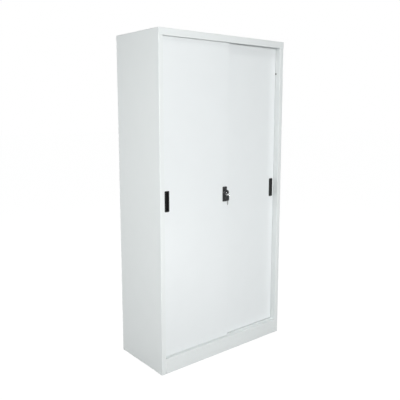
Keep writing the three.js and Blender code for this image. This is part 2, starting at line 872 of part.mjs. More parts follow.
// The left door runs in front, and its lock goes through it.
const lockHole = cylinderY(
  barrelRadius + barrelFit,
  lockX,
  frontDoorY - overrun,
  frontDoorY + 2 * sheet,
  lockZ,
  rollerFacets,
);
const leftHandleX = frontDoorX + handleEdge;
const rightHandleX = rearDoorX + doorWidth - handleEdge - handleWidth;
place(leftDoor, "left_door_skin", doorSkin(frontDoorX, frontDoorY, leftHandleX, lockHole), whiteCoat);
place(rightDoor, "right_door_skin", doorSkin(rearDoorX, rearDoorY, rightHandleX), whiteCoat);
for (const [side, door, x, y] of [
  ["left", leftDoor, frontDoorX, frontDoorY],
  ["right", rightDoor, rearDoorX, rearDoorY],
]) {
  place(door, `${side}_door_stiffener`, stiffener(x, y), whiteCoat);
  for (const [end, axle] of [
    ["left", x + rollerInset],
    ["right", x + doorWidth - rollerInset],
  ]) {
    place(door, `${side}_door_${end}_roller_bracket`, rollerBracket(axle, y), zincSteel);
    place(door, `${side}_door_${end}_roller`, roller(axle, y), whiteNylon);
    place(door, `${side}_door_${end}_top_guide`, topGuide(axle, y), whiteNylon);
  }
}
place(leftDoor, "left_door_handle", cupHandle(leftHandleX, frontDoorY), blackPlastic);
mirrorToRight(place(rightDoor, "right_door_handle", cupHandle(leftHandleX, rearDoorY), blackPlastic));

place(leftDoor, "lock_plate", lockPlate(), blackPlastic);
place(leftDoor, "lock_barrel", lockBarrel(), chrome);
place(turningLock, "lock_plug", lockPlug(), chrome);
place(turningLock, "lock_cam", lockCam(), zincSteel);
place(turningLock, "key", key(), blackPlastic);
place(turningLock, "key_ring", keyRing(), chrome);
place(turningLock, "spare_key", spareKey(), blackPlastic);
place(rightDoor, "lock_strike", strike(), zincSteel);

export default cabinet;
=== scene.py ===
# %% [markdown]
# A white steel office cabinet with two sliding doors, rebuilt for Blender.
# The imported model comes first: it is the frame, in metres, and every piece made here goes where the frame
# says. Most pieces are thin sheet that a press brake folded, so they are drawn here the way the metalworker
# makes them: a flat line of metal, pulled out, folded, punched, and only then given its thickness.

# %% The frame
import json
import math

import bmesh
import bpy
from mathutils import Matrix, Vector


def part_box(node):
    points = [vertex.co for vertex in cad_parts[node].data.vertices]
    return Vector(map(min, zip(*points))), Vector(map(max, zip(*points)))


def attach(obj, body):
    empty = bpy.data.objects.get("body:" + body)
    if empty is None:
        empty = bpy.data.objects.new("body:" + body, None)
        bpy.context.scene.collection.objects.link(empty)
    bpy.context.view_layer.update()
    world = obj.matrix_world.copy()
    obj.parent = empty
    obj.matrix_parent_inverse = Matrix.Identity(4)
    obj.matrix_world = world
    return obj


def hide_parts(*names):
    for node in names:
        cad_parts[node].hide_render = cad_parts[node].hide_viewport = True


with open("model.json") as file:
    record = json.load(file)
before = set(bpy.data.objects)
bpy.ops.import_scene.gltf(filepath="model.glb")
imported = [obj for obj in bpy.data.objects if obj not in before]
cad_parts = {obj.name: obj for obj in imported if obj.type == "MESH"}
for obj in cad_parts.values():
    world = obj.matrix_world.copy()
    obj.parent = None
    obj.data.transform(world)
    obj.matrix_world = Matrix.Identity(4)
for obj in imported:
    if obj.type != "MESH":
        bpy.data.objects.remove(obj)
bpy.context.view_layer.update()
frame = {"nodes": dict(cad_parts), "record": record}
print("nodes in the frame:", len(frame["nodes"]))

# %% [markdown]
# The drawings of such a cabinet are in millimetres, from its lower front left corner: x to the right, y back
# and z up. The frame is in metres, from under the middle of the object.
# One function changes a point from the drawing to the frame, and one reads a node's corners the other way.
# Every size below is then read from the frame or worked out from what is read.

# %% From the drawing to the frame
MM = 0.001
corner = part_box("left_side_panel")[0]
X, Y, Z = Vector((1, 0, 0)), Vector((0, 1, 0)), Vector((0, 0, 1))


def at(x, y, z):
    return corner + Vector((x, y, z)) * MM


def span(node):
    low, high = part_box(node)
    return (low - corner) / MM, (high - corner) / MM


def body_of(node):
    groups = frame["record"]["behaviour"]["bodies"]
    return next(body for body, members in groups.items() if node in members)


def finish_of(node):
    return next(part["material_slot"] for part in frame["record"]["subparts"] if part["node"] == node)


WIDTH, DEPTH, HEIGHT = span("top_panel")[1]
back_low, back_high = span("back_panel")
SHEET = back_high.y - back_low.y
SEAM = span("bottom_panel")[0].x - SHEET
BEND = 1.2
print("cabinet", round(WIDTH), "x", round(DEPTH), "x", round(HEIGHT), "mm")
print("sheet", round(SHEET, 2), "mm, seam", round(SEAM, 2), "mm")

# %% [markdown]
# The camera stands about where the photographer stood: half a metre above the middle of the cabinet, to its
# left, and about two and a half metres from its nearest corner.
# A camera keeps upright lines upright when it is level and its lens is shifted. Here the lines lean slightly,
# so the camera is tilted down by eight degrees, and the small shift brings the object to the middle of the
# frame.

# %% The camera
SENSOR = 36.0
IMAGE = 400
FOCAL_PIXELS = 515.0
TILT = math.radians(8.357)
TURN = math.radians(39.269)
FRAME_SHIFT = -0.0325
camera_place = Vector((-1.9215, -2.3069, 1.3953))
camera_data = bpy.data.cameras.new("camera")
camera_data.sensor_width = SENSOR
camera_data.lens = FOCAL_PIXELS / IMAGE * SENSOR
camera_data.shift_y = FRAME_SHIFT
camera = bpy.data.objects.new("camera", camera_data)
looking = Vector((math.sin(TURN) * math.cos(TILT), math.cos(TURN) * math.cos(TILT), -math.sin(TILT)))
camera.location = camera_place
camera.rotation_euler = looking.to_track_quat("-Z", "Y").to_euler()
bpy.context.scene.collection.objects.link(camera)
bpy.context.scene.camera = camera
print("lens", round(camera_data.lens, 1), "mm")

# %% [markdown]
# The photograph is a cut-out on white. A white world would light the cabinet evenly from all sides, and its
# folds would vanish. So the world is white only to the camera, and a dim, slightly cool grey to the rest.
# That choice is two shaders and a mix between them, which asks whether the ray comes from the camera.
# The floor needs the same choice, so it is a function, and so is the making of a node with its values.

# %% The white surroundings
WHITE = (1, 1, 1, 1)
ROOM_COLOR = (0.94, 1.0, 1.02, 1)
ROOM_LIGHT = 0.205


def set_sockets(node, values):
    for label, value in values.items():
        node.inputs[label].default_value = value


def shader_node(tree, kind, **values):
    """Makes a node; the values are given by the names of its sockets, with _ for a space."""
    made = tree.nodes.new("ShaderNode" + kind)
    set_sockets(made, {label.replace("_", " "): value for label, value in values.items()})
    return made


def shown_to_camera(tree, hidden, shown, surface):
    """Gives the camera the shader shown, and everything else the shader hidden."""
    ray = shader_node(tree, "LightPath")
    choice = shader_node(tree, "MixShader")
    tree.links.new(ray.outputs["Is Camera Ray"], choice.inputs["Fac"])
    tree.links.new(hidden.outputs[0], choice.inputs[1])
    tree.links.new(shown.outputs[0], choice.inputs[2])
    tree.links.new(choice.outputs[0], surface.inputs["Surface"])


world = bpy.data.worlds.new("studio")
bpy.context.scene.world = world
world.use_nodes = True
room = world.node_tree
room.nodes.clear()
seen = shader_node(room, "Background", Color=WHITE)
lit = shader_node(room, "Background", Color=ROOM_COLOR, Strength=ROOM_LIGHT)
shown_to_camera(room, lit, seen, shader_node(room, "OutputWorld"))
bpy.context.scene.view_settings.view_transform = "Standard"
print("room light", ROOM_LIGHT)

# %% [markdown]
# The floor is one large face. The camera sees a white that glows by itself, with a trace of a pale matt
# floor in it, so that a little of the shadow shows. The cabinet sees a grey floor, because a white one would
# light it too much from below.

# %% The floor
FLOOR_SIZE = 30
FLOOR_GREY = 0.35
FLOOR_PALE = 0.9
FLOOR_GLOW = 1.04
SHADOW_TRACE = 0.05
floor_mesh = bmesh.new()
bmesh.ops.create_grid(floor_mesh, x_segments=1, y_segments=1, size=FLOOR_SIZE)
floor_data = bpy.data.meshes.new("floor")
floor_mesh.to_mesh(floor_data)
floor_mesh.free()
floor = bpy.data.objects.new("floor", floor_data)
bpy.context.scene.collection.objects.link(floor)
floor_paint = bpy.data.materials.new("studio_floor")
floor_paint.use_nodes = True
paint = floor_paint.node_tree
paint.nodes.clear()
grey = shader_node(paint, "BsdfDiffuse", Color=(FLOOR_GREY, FLOOR_GREY, FLOOR_GREY, 1))
pale = shader_node(paint, "BsdfDiffuse", Color=(FLOOR_PALE, FLOOR_PALE, FLOOR_PALE, 1))
glow = shader_node(paint, "Emission", Strength=FLOOR_GLOW)
shown = shader_node(paint, "MixShader", Fac=SHADOW_TRACE)
paint.links.new(glow.outputs[0], shown.inputs[1])
paint.links.new(pale.outputs[0], shown.inputs[2])
shown_to_camera(paint, grey, shown, shader_node(paint, "OutputMaterial"))
floor_data.materials.append(floor_paint)
print("floor", 2 * FLOOR_SIZE, "m wide")

# %% [markdown]
# Soft lights suit a big plain object. In the photograph the slot under the rail is dark, so the lamps in
# front stand higher than the rail. The doors fade to the right, so the nearest lamp stands on the left.
# The rail throws a short shadow, one and a half times as long as the door is set back, so a small light
# stands at 60 degrees above it. The low part of the doors is still pale, as it is over a white floor, so two
# low cards light it from below. The side panel has two lamps of its own. The last three lights stand behind
# the doors' plane, so they fall on the top, the back and the right side, which the photograph doesn't show.

# %% The studio lights
middle = at(WIDTH / 2, DEPTH / 2, HEIGHT / 2)
# The place, the size and the power of each lamp.
LAMPS = {
    "left_light": ((-1.6, -2.2, 2.0), 0.4, 19.3),
    "front_light": ((0.2, -3.4, 2.1), 0.5, 32.0),
    "high_light": ((-0.9, -1.4, 3.8), 0.4, 12.5),
    "left_card": ((-0.8, -1.9, 0.12), 0.8, 10.0),
    "right_card": ((0.4, -1.9, 0.12), 0.8, 8.2),
    "side_light": ((-2.8, 0.0, 1.15), 1.2, 29.6),
    "far_side_light": ((-3.2, -1.6, 2.0), 2.0, 8.8),
    "far_right_light": ((3.0, 0.4, 1.9), 1.5, 36),
    "back_light": ((0.6, 2.6, 3.0), 0.8, 42),
    "top_light": ((0.5, 0.9, 3.9), 1.2, 16),
}
for lamp_name, (place, size, power) in LAMPS.items():
    lamp_data = bpy.data.lights.new(lamp_name, "AREA")
    lamp_data.shape = "DISK"
    lamp_data.size = size
    lamp_data.energy = power
    lamp = bpy.data.objects.new(lamp_name, lamp_data)
    lamp.location = place
    lamp.rotation_euler = (middle - Vector(place)).to_track_quat("-Z", "Y").to_euler()
    lamp.visible_camera = False
    bpy.context.scene.collection.objects.link(lamp)
print(len(LAMPS), "lights round", tuple(round(v, 3) for v in middle))

# %% [markdown]
# Two effects are shared by several finishes, so each is a node group with named inputs and outputs.
# The first is the skin of a sprayed or moulded surface: a fine grain, larger waves, and a roughness that
# drifts. The second is a mask of worn edges. It compares the surface normal with a bevelled copy of it, and
# they differ only near an edge; noise then breaks the mask up, because wear is never even.

# %% The shared effects
GRAIN_HEIGHT = 0.0002
WAVE_HEIGHT = 0.004


def effect(name, inputs, outputs):
    group = bpy.data.node_groups.new(name, "ShaderNodeTree")
    for label, value in inputs.items():
        socket = group.interface.new_socket(label, in_out="INPUT", socket_type="NodeSocketFloat")
        socket.default_value = value
    for label, kind in outputs.items():
        group.interface.new_socket(label, in_out="OUTPUT", socket_type=kind)
    return group, group.nodes.new("NodeGroupInput"), group.nodes.new("NodeGroupOutput")


def skin_effect():
    values = {"Grain Scale": 600, "Grain Depth": 0.1, "Wave Scale": 3, "Wave Depth": 0.1}
    values.update({"Roughness": 0.4, "Drift": 0.05})
    results = {"Roughness": "NodeSocketFloat", "Normal": "NodeSocketVector", "Cloud": "NodeSocketFloat"}
    group, given, made = effect("surface_skin", values, results)
    join = group.links.new
    place = shader_node(group, "TexCoord")
    grain = shader_node(group, "TexNoise", Detail=2)
    waves = shader_node(group, "TexNoise", Detail=1)
    drift = shader_node(group, "TexNoise", Scale=9, Detail=4)
    for texture in (grain, waves, drift):
        join(place.outputs["Object"], texture.inputs["Vector"])
    join(given.outputs["Grain Scale"], grain.inputs["Scale"])
    join(given.outputs["Wave Scale"], waves.inputs["Scale"])
    broad = shader_node(group, "Bump", Distance=WAVE_HEIGHT)
    join(given.outputs["Wave Depth"], broad.inputs["Strength"])
    join(waves.outputs["Fac"], broad.inputs["Height"])
    fine = shader_node(group, "Bump", Distance=GRAIN_HEIGHT)
    join(given.outputs["Grain Depth"], fine.inputs["Strength"])
    join(grain.outputs["Fac"], fine.inputs["Height"])
    join(broad.outputs["Normal"], fine.inputs["Normal"])
    join(fine.outputs["Normal"], made.inputs["Normal"])
    rough = shader_node(group, "MapRange", From_Min=0.3, From_Max=0.7)
    join(drift.outputs["Fac"], rough.inputs["Value"])
    for limit, operation in (("To Min", "SUBTRACT"), ("To Max", "ADD")):
        side = shader_node(group, "Math")
        side.operation = operation
        join(given.outputs["Roughness"], side.inputs[0])
        join(given.outputs["Drift"], side.inputs[1])
        join(side.outputs[0], rough.inputs[limit])
    join(rough.outputs["Result"], made.inputs["Roughness"])
    join(drift.outputs["Fac"], made.inputs["Cloud"])
    return group


def wear_effect():
    group, given, made = effect("edge_wear", {"Reach": 0.0005, "Amount": 0.5}, {"Wear": "NodeSocketFloat"})
    join = group.links.new
    place = shader_node(group, "TexCoord")
    spots = shader_node(group, "TexNoise", Scale=220, Detail=3)
    join(place.outputs["Object"], spots.inputs["Vector"])
    rounded = shader_node(group, "Bevel")
    rounded.samples = 4
    join(given.outputs["Reach"], rounded.inputs["Radius"])
    flat = shader_node(group, "NewGeometry")
    likeness = shader_node(group, "VectorMath")
    likeness.operation = "DOT_PRODUCT"
    join(rounded.outputs["Normal"], likeness.inputs[0])
    join(flat.outputs["Normal"], likeness.inputs[1])
    edge = shader_node(group, "MapRange", From_Min=0.995, From_Max=0.85)
    join(likeness.outputs["Value"], edge.inputs["Value"])
    broken = shader_node(group, "MapRange", From_Min=0.35, From_Max=0.65)
    join(spots.outputs["Fac"], broken.inputs["Value"])
    mask = edge.outputs["Result"]
    for factor in (broken.outputs["Result"], given.outputs["Amount"]):
        product = shader_node(group, "Math")
        product.operation = "MULTIPLY"
        join(mask, product.inputs[0])
        join(factor, product.inputs[1])
        mask = product.outputs[0]
    join(mask, made.inputs["Wear"])
    return group


surface_skin = skin_effect()
edge_wear = wear_effect()
print("effects:", surface_skin.name, "and", edge_wear.name)

# %% [markdown]
# Every finish starts from one Principled shader. A number that is the same all over stays on the shader's own
# socket; what changes over the surface comes from the two groups.
# Powder coat is a thick paint, baked on. It is smooth from afar and has a fine orange peel close up, so it
# gets a fine grain and a coat. The sheet under it is never quite flat, so it gets shallow waves as well.

# %% The finish of one material
COAT_ROUGHNESS = 0.25
CLOUD_SHADE = 0.97


def finish(name, color, rough, *, second=None, metallic=0.0, grain=(900, 0.1), waves=(3, 0.0), drift=0.05,
           wear=None, worn_color=None, coat=0.0, shine=0.5):
    """Grain and waves are a scale and a depth, and wear is a reach in metres and an amount."""
    material = bpy.data.materials.new(name)
    material.use_nodes = True
    tree = material.node_tree
    shader = tree.nodes["Principled BSDF"]
    set_sockets(shader, {"Metallic": metallic, "Specular IOR Level": shine})
    set_sockets(shader, {"Coat Weight": coat, "Coat Roughness": COAT_ROUGHNESS})
    skin = tree.nodes.new("ShaderNodeGroup")
    skin.node_tree = surface_skin
    set_sockets(skin, {"Grain Scale": grain[0], "Grain Depth": grain[1], "Roughness": rough})
    set_sockets(skin, {"Wave Scale": waves[0], "Wave Depth": waves[1], "Drift": drift})
    tree.links.new(skin.outputs["Roughness"], shader.inputs["Roughness"])
    tree.links.new(skin.outputs["Normal"], shader.inputs["Normal"])
    tint = tree.nodes.new("ShaderNodeMix")
    tint.data_type = "RGBA"
    set_sockets(tint, {"A": (*color, 1), "B": (*(second or [c * CLOUD_SHADE for c in color]), 1)})
    tree.links.new(skin.outputs["Cloud"], tint.inputs["Factor"])
    colored = tint.outputs["Result"]
    if wear:
        worn = tree.nodes.new("ShaderNodeGroup")
        worn.node_tree = edge_wear
        set_sockets(worn, {"Reach": wear[0], "Amount": wear[1]})
        rubbed = tree.nodes.new("ShaderNodeMix")
        rubbed.data_type = "RGBA"
        set_sockets(rubbed, {"B": (*worn_color, 1)})
        tree.links.new(worn.outputs["Wear"], rubbed.inputs["Factor"])
        tree.links.new(colored, rubbed.inputs["A"])
        colored = rubbed.outputs["Result"]
    tree.links.new(colored, shader.inputs["Base Color"])
    return material


print("a finish starts with the group", surface_skin.name)

# %% [markdown]
# The doors get a paint of their own, a trace paler and cooler than the carcass has, which is nearer to their
# tones in the photograph. Zinc plate and key steel are metallic, in two tones that drift into each other.
# The moulded pieces are dark but not black, their grain is deeper, and their worn edges are a little paler.
# The cup handles get a darker plastic than the lock plate: a painted shade for the shade inside their cups.

# %% The finishes
powder_coat = finish("powder_coat", (0.795, 0.825, 0.82), 0.42, grain=(1100, 0.12), waves=(2.2, 0.10),
                     coat=0.15)
door_coat = finish("door_coat", (0.817, 0.845, 0.85), 0.40, grain=(1100, 0.12), waves=(2.6, 0.10), coat=0.15)
zinc = finish("zinc_plate", (0.66, 0.67, 0.66), 0.36, second=(0.56, 0.57, 0.56), metallic=1.0,
              grain=(500, 0.15), drift=0.12)
# The track's coat is paler than the cabinet's: painted light on the strip under the doors, with real wear on
# its edges.
track_coat_with_wear_and_painted_light = finish("track_coat_with_wear_and_painted_light", (0.84, 0.87, 0.865), 0.34, grain=(1100, 0.1), waves=(2.2, 0.04), coat=0.2,
                    wear=(0.0005, 0.55), worn_color=(0.52, 0.53, 0.53))
black_plastic = finish("black_plastic", (0.034, 0.036, 0.037), 0.44, grain=(1500, 0.3), wear=(0.0004, 0.25),
                       worn_color=(0.09, 0.09, 0.092))
# The cups' plastic is darker than the plate's: a painted shade for the shade in their recesses.
cup_plastic_with_painted_shade = finish("cup_plastic_with_painted_shade", (0.014, 0.0146, 0.015), 0.42, grain=(1500, 0.3), wear=(0.0004, 0.25),
                     worn_color=(0.05, 0.05, 0.052), shine=0.3)
key_plastic = finish("key_plastic", (0.018, 0.019, 0.02), 0.36, grain=(1800, 0.2), wear=(0.0004, 0.4),
                     worn_color=(0.08, 0.08, 0.08))
nylon = finish("nylon", (0.82, 0.80, 0.73), 0.5, grain=(900, 0.15), wear=(0.0004, 0.3),
               worn_color=(0.6, 0.58, 0.52))
chrome = finish("chrome_plate", (0.84, 0.84, 0.85), 0.2, metallic=1.0, grain=(700, 0.03), drift=0.05)
key_steel = finish("key_steel", (0.44, 0.44, 0.43), 0.3, second=(0.38, 0.38, 0.37), metallic=1.0,
                   grain=(700, 0.08), drift=0.08)
rubber = finish("rubber", (0.075, 0.075, 0.074), 0.75, second=(0.1, 0.099, 0.097), grain=(1200, 0.4))
FINISHES = {
    "white_powder_coat": powder_coat,
    "door_powder_coat": door_coat,
    "zinc_clip": zinc,
    "black_plastic": black_plastic,
    "key_plastic": key_plastic,
    "white_nylon": nylon,
    "chrome": chrome,
    "black_rubber": rubber,
}
for node, part in frame["nodes"].items():
    part.data.materials.clear()
    part.data.materials.append(FINISHES[finish_of(node)])
print("finishes:", len(FINISHES))

# %% [markdown]
# Nearly every piece is made by the same few workshop steps, so each step is a small helper.
# A sheet starts as a strip: a line of points, pulled out along a vector. An edge of it may be pulled out
# again into a flange. New faces can point either way, so the whole sheet is then turned by one face whose
# side is known.

# %% Drawing a sheet
FOLD_STEPS = 5
TINY = 0.001


def is_point(element):
    return isinstance(element, bmesh.types.BMVert)


def near(value, target, reach=0.05):
    return abs(value - target) < reach


def within(point, low, high, slack=0.01):
    return all(low[i] - slack < point[i] < high[i] + slack for i in range(3))


def middle_of(edge):
    return (edge.verts[0].co + edge.verts[1].co) / 2


def faces_at(mesh, axis, place):
    return [f for f in mesh.faces if near(f.calc_center_median()[axis], place)]


def move_points(mesh, made, reach):
    """Moves the points of what an operator has just made."""
    bmesh.ops.translate(mesh, verts=list(filter(is_point, made)), vec=reach)
    return made


def pull_edges(mesh, edges, reach):
    return move_points(mesh, bmesh.ops.extrude_edge_only(mesh, edges=edges)["geom"], reach)


def pull_faces(mesh, faces, reach):
    return move_points(mesh, bmesh.ops.extrude_face_region(mesh, geom=faces)["geom"], reach)


def pull_rim(mesh, chosen, reach):
    """Pulls out the open edges whose middles are chosen."""
    edges = [e for e in mesh.edges if e.is_boundary and chosen(middle_of(e))]
    pull_edges(mesh, edges, reach)
    return edges


def face_along(mesh, sample, facing):
    """Turns the whole sheet so that one face of it, the sample, looks along a vector."""
    bmesh.ops.recalc_face_normals(mesh, faces=mesh.faces)
    if sample.normal.dot(facing) < 0:
        bmesh.ops.reverse_faces(mesh, faces=mesh.faces)


def strip(points, along, facing):
    mesh = bmesh.new()
    corners = [mesh.verts.new(point) for point in points]
    line = [mesh.edges.new(pair) for pair in zip(corners, corners[1:])]
    pull_edges(mesh, line, along)
    start = (Vector(points[0]) + Vector(points[1]) + along) / 2
    first = min(mesh.faces, key=lambda f: (f.calc_center_median() - start).length)
    face_along(mesh, first, facing)
    return mesh


print("each fold takes", FOLD_STEPS, "steps")

# %% [markdown]
# A hole is punched by slicing the faces round it and deleting those inside.
# Folds are rounded with bevel: a fold that turns away from the viewer gets the larger, outer radius, and one
# that turns towards the viewer gets the inner radius. Only then does solidify give the metal its thickness.
# Bevel's own defaults differ from the editor's, so one function always gives it the editor's.

# %% Punching, folding and thickening


def slice_faces(mesh, faces, axis, place):
    faces = list(faces)
    normal = Vector([float(i == axis) for i in range(3)])
    geom = faces + list({e for f in faces for e in f.edges}) + list({v for f in faces for v in f.verts})
    bmesh.ops.bisect_plane(mesh, geom=geom, plane_co=normal * place, plane_no=normal, dist=TINY)


def box_of(face):
    corners = [v.co for v in face.verts]
    return [[pick(c[i] for c in corners) for i in range(3)] for pick in (min, max)]


def punch(mesh, low, high):
    def touched(face):
        face_low, face_high = box_of(face)
        return all(face_low[i] < high[i] and face_high[i] > low[i] for i in range(3))

    for axis in range(3):
        for place in (low[axis], high[axis]):
            slice_faces(mesh, filter(touched, mesh.faces), axis, place)
    gone = [f for f in mesh.faces if within(f.calc_center_median(), low, high)]
    bmesh.ops.delete(mesh, geom=gone, context="FACES")


def bevel(mesh, parts, reach, steps, affect="EDGES", clamp=False):
    return bmesh.ops.bevel(mesh, geom=parts, offset=reach, segments=steps, profile=0.5, affect=affect,
                           material=-1, clamp_overlap=clamp)


def round_folds(mesh, inner=BEND, thickness=SHEET, edges=None, steps=FOLD_STEPS):
    bmesh.ops.remove_doubles(mesh, verts=mesh.verts, dist=TINY)
    mesh.normal_update()
    folds = [e for e in (edges or mesh.edges) if e.is_valid and len(e.link_faces) == 2]
    for outwards, radius in ((True, inner + thickness), (False, inner)):
        turned = [e for e in folds if e.is_valid and e.calc_face_angle() > 0.5]
        turned = [e for e in turned if (e.calc_face_angle_signed() > 0) == outwards]
        if turned:
            bevel(mesh, turned, radius, steps, clamp=True)


def soften(mesh, reach, steps=1, angle=60, chosen=lambda point: True):
    """Takes the sharpness off the edges that turn by more than an angle."""
    mesh.normal_update()
    edges = [e for e in mesh.edges if len(e.link_faces) == 2 and e.calc_face_angle() > math.radians(angle)]
    bevel(mesh, [e for e in edges if chosen(middle_of(e))], reach, steps)


def give_wall(mesh, thickness):
    bmesh.ops.solidify(mesh, geom=mesh.faces[:], thickness=thickness)


def thicken(mesh, thickness=SHEET, softened=0.12):
    bmesh.ops.dissolve_degenerate(mesh, dist=TINY, edges=mesh.edges)
    mesh.normal_update()
    give_wall(mesh, thickness)
    soften(mesh, softened)
    return mesh


def mirrored(mesh):
    mesh.transform(Matrix.Translation((WIDTH, 0, 0)) @ Matrix.Scale(-1, 4, X))
    bmesh.ops.reverse_faces(mesh, faces=mesh.faces)
    return mesh


print("folds are rounded to", BEND, "and", round(BEND + SHEET, 2), "mm")

# %% [markdown]
# A flat plate with round or rounded holes is drawn as its outlines. Each outline starts as a plain rectangle
# or circle, and bevel rounds its corners; triangle fill then makes the plate between them.
# The plate lies flat while it is made, and a matrix stands it up: on the front of a door, or on a side wall.

# %% Flat plates
FACING_FRONT = Matrix(((1, 0, 0, 0), (0, 0, -1, 0), (0, 1, 0, 0), (0, 0, 0, 1)))
FACING_RIGHT = Matrix(((0, 0, 1, 0), (1, 0, 0, 0), (0, 1, 0, 0), (0, 0, 0, 1)))
TURN_STEPS = 48


def rectangle(mesh, low, high, radius=0.0, steps=5):
    made = bmesh.ops.create_grid(mesh, x_segments=1, y_segments=1, size=0.5)["verts"]
    bmesh.ops.scale(mesh, verts=made, vec=(high[0] - low[0], high[1] - low[1], 1))
    bmesh.ops.translate(mesh, verts=made, vec=((low[0] + high[0]) / 2, (low[1] + high[1]) / 2, 0))
    return bevel(mesh, made, radius, steps, affect="VERTICES")["verts"] if radius else made


def circle(mesh, radius, steps=TURN_STEPS, centre=(0, 0)):
    made = bmesh.ops.create_circle(mesh, cap_ends=False, segments=steps, radius=radius)["verts"]
    bmesh.ops.translate(mesh, verts=made, vec=(*centre, 0))
    return made


def fill_outlines(mesh):
    """Leaves only the outlines, and fills what lies between the outer one and the inner ones."""
    bmesh.ops.delete(mesh, geom=mesh.faces[:], context="FACES_ONLY")
    bmesh.ops.triangle_fill(mesh, edges=mesh.edges[:], use_beauty=True, use_dissolve=False)


def face_up(mesh):
    mesh.normal_update()
    for face in mesh.faces:
        if face.normal.z < 0:
            face.normal_flip()


def plate(outline, holes=()):
    """A hole is the corners of a rectangle and its rounding, or a centre and a radius."""
    mesh = bmesh.new()
    rectangle(mesh, *outline)
    for hole in holes:
        if isinstance(hole[1], float):
            circle(mesh, hole[1], centre=hole[0])
        else:
            rectangle(mesh, *hole)
    if holes:
        fill_outlines(mesh)
    face_up(mesh)
    return mesh


def stand(mesh, matrix, place):
    mesh.transform(Matrix.Translation(place) @ matrix)
    mesh.normal_update()
    return mesh


print("a round hole has", TURN_STEPS, "sides")

# %% [markdown]
# A finished piece is moved from millimetres to the frame, shaded smooth with its real edges kept sharp,
# painted, and told which body it rides on. Most pieces take the place of a solid of the frame; screws are
# added to one.

# %% Finished pieces
SHARP_ANGLE = math.radians(35)


def finished(mesh, name, node, *, slot=None, coat=None, stands_for=True):
    mesh.transform(Matrix.Translation(corner) @ Matrix.Scale(MM, 4))
    data = bpy.data.meshes.new(name)
    mesh.to_mesh(data)
    mesh.free()
    data.shade_smooth()
    data.set_sharp_from_angle(angle=SHARP_ANGLE)
    data.materials.append(coat or FINISHES[slot or finish_of(node)])
    piece = bpy.data.objects.new(name, data)
    bpy.context.scene.collection.objects.link(piece)
    shading = piece.modifiers.new("even_shading", "WEIGHTED_NORMAL")
    shading.keep_sharp = True
    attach(piece, body_of(node))
    if stands_for:
        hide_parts(node)


print("edges stay sharp past", round(math.degrees(SHARP_ANGLE)), "degrees")

# %% [markdown]
# Where two sheets lie on each other, spot welding leaves small round marks. A mark is pressed into a flat
# face: a square patch is cut out of the face, its corners are rounded until it is nearly a circle, and the
# middle sinks in.

# %% The weld marks
WELD_PATCH = 4
WELD_MARGIN = 1
WELD_CORNER = 2.8
WELD_SLOPE = 0.7
WELD_DEPTH = 0.4
WELD_PITCH = 120
WELD_ROW_END = 90
WELD_LOW, WELD_HIGH = 60, 1750
weld_heights = range(WELD_LOW, WELD_HIGH, WELD_PITCH)
weld_row = range(WELD_ROW_END, round(WIDTH) - WELD_ROW_END + 1, WELD_PITCH)


def press_weld(mesh, centre):
    """Presses a mark into a face that looks backwards."""
    under_mark = lambda: [f for f in mesh.faces if within(centre, *box_of(f))]
    for axis in (2, 0):
        for place in (centre[axis] - WELD_PATCH, centre[axis] + WELD_PATCH):
            slice_faces(mesh, under_mark(), axis, place)
    patch = under_mark()[0]
    bmesh.ops.inset_individual(mesh, faces=[patch], thickness=WELD_MARGIN)
    bevel(mesh, list(patch.verts), WELD_CORNER, 3, affect="VERTICES")
    patch = min(mesh.faces, key=lambda f: (f.calc_center_median() - centre).length)
    bmesh.ops.inset_individual(mesh, faces=[patch], thickness=WELD_SLOPE)
    bmesh.ops.translate(mesh, verts=list(patch.verts), vec=-Y * WELD_DEPTH)


print(len(weld_heights), "marks up a side,", len(weld_row), "across the top")

# %% [markdown]
# A side panel is one sheet. Seen from above it starts behind the doors, turns forwards into the post that
# the doors close against, crosses the front, runs back as the outer wall, and ends in a flange for the back
# panel. It is therefore one strip, drawn with the six points of that section and pulled up to the height.

# %% The side panels
jamb_right, _, side_high = span("left_side_panel")[1]
top_low = span("top_panel")[0].z
door_low, door_high = span("left_door_skin")
rear_door_low, rear_door_high = span("right_door_skin")
POST_CLEARANCE = 8
POST_LIP = 17
REAR_FLANGE = 20
WELD_FLANGE = 16
NOTCH = 6
TOP_REAR_FLANGE = 22
post_depth = rear_door_high.y + POST_CLEARANCE
OUT = 1.0


def side_panel():
    section = [
        (jamb_right - POST_LIP, post_depth, 0),
        (jamb_right, post_depth, 0),
        (jamb_right, 0, 0),
        (0, 0, 0),
        (0, DEPTH, 0),
        (REAR_FLANGE, DEPTH, 0),
    ]
    mesh = strip(section, Z * side_high, Y)
    round_folds(mesh)
    round_corner = SHEET + BEND
    folds_end = side_high - BEND
    rear_top = HEIGHT - TOP_REAR_FLANGE - SEAM
    past = jamb_right + OUT
    punch(mesh, (-OUT, -OUT, top_low - SEAM), (past, SHEET + SEAM, HEIGHT))
    punch(mesh, (-OUT, DEPTH - SHEET - SEAM, rear_top), (past, DEPTH + OUT, HEIGHT))
    punch(mesh, (-OUT, -OUT, folds_end), (past, round_corner, HEIGHT))
    punch(mesh, (-OUT, DEPTH - round_corner, folds_end), (past, DEPTH + OUT, HEIGHT))
    front, back = post_depth + NOTCH, DEPTH - NOTCH
    for place in (front, back):
        slice_faces(mesh, faces_at(mesh, 0, 0), 1, place)
    for height in (0, side_high):
        on_edge = lambda p: near(p.x, 0) and near(p.z, height) and front < p.y < back
        round_folds(mesh, edges=pull_rim(mesh, on_edge, X * WELD_FLANGE))
    for height in weld_heights:
        press_weld(mesh, Vector((REAR_FLANGE / 2 + 1, DEPTH, height)))
    return thicken(mesh)


finished(side_panel(), "left_side_sheet", "left_side_panel")
finished(mirrored(side_panel()), "right_side_sheet", "right_side_panel")
print("side panels", round(side_high, 1), "mm high")

# %% [markdown]
# The top panel is a strip too: the rail over the doors, the top, and a short flange behind. The rail's lower
# edge is pulled back between the posts, so that no raw edge hangs over the doors.
# The floor of the cabinet and the plinth under it are the same kind of strip, pulled out along the width.

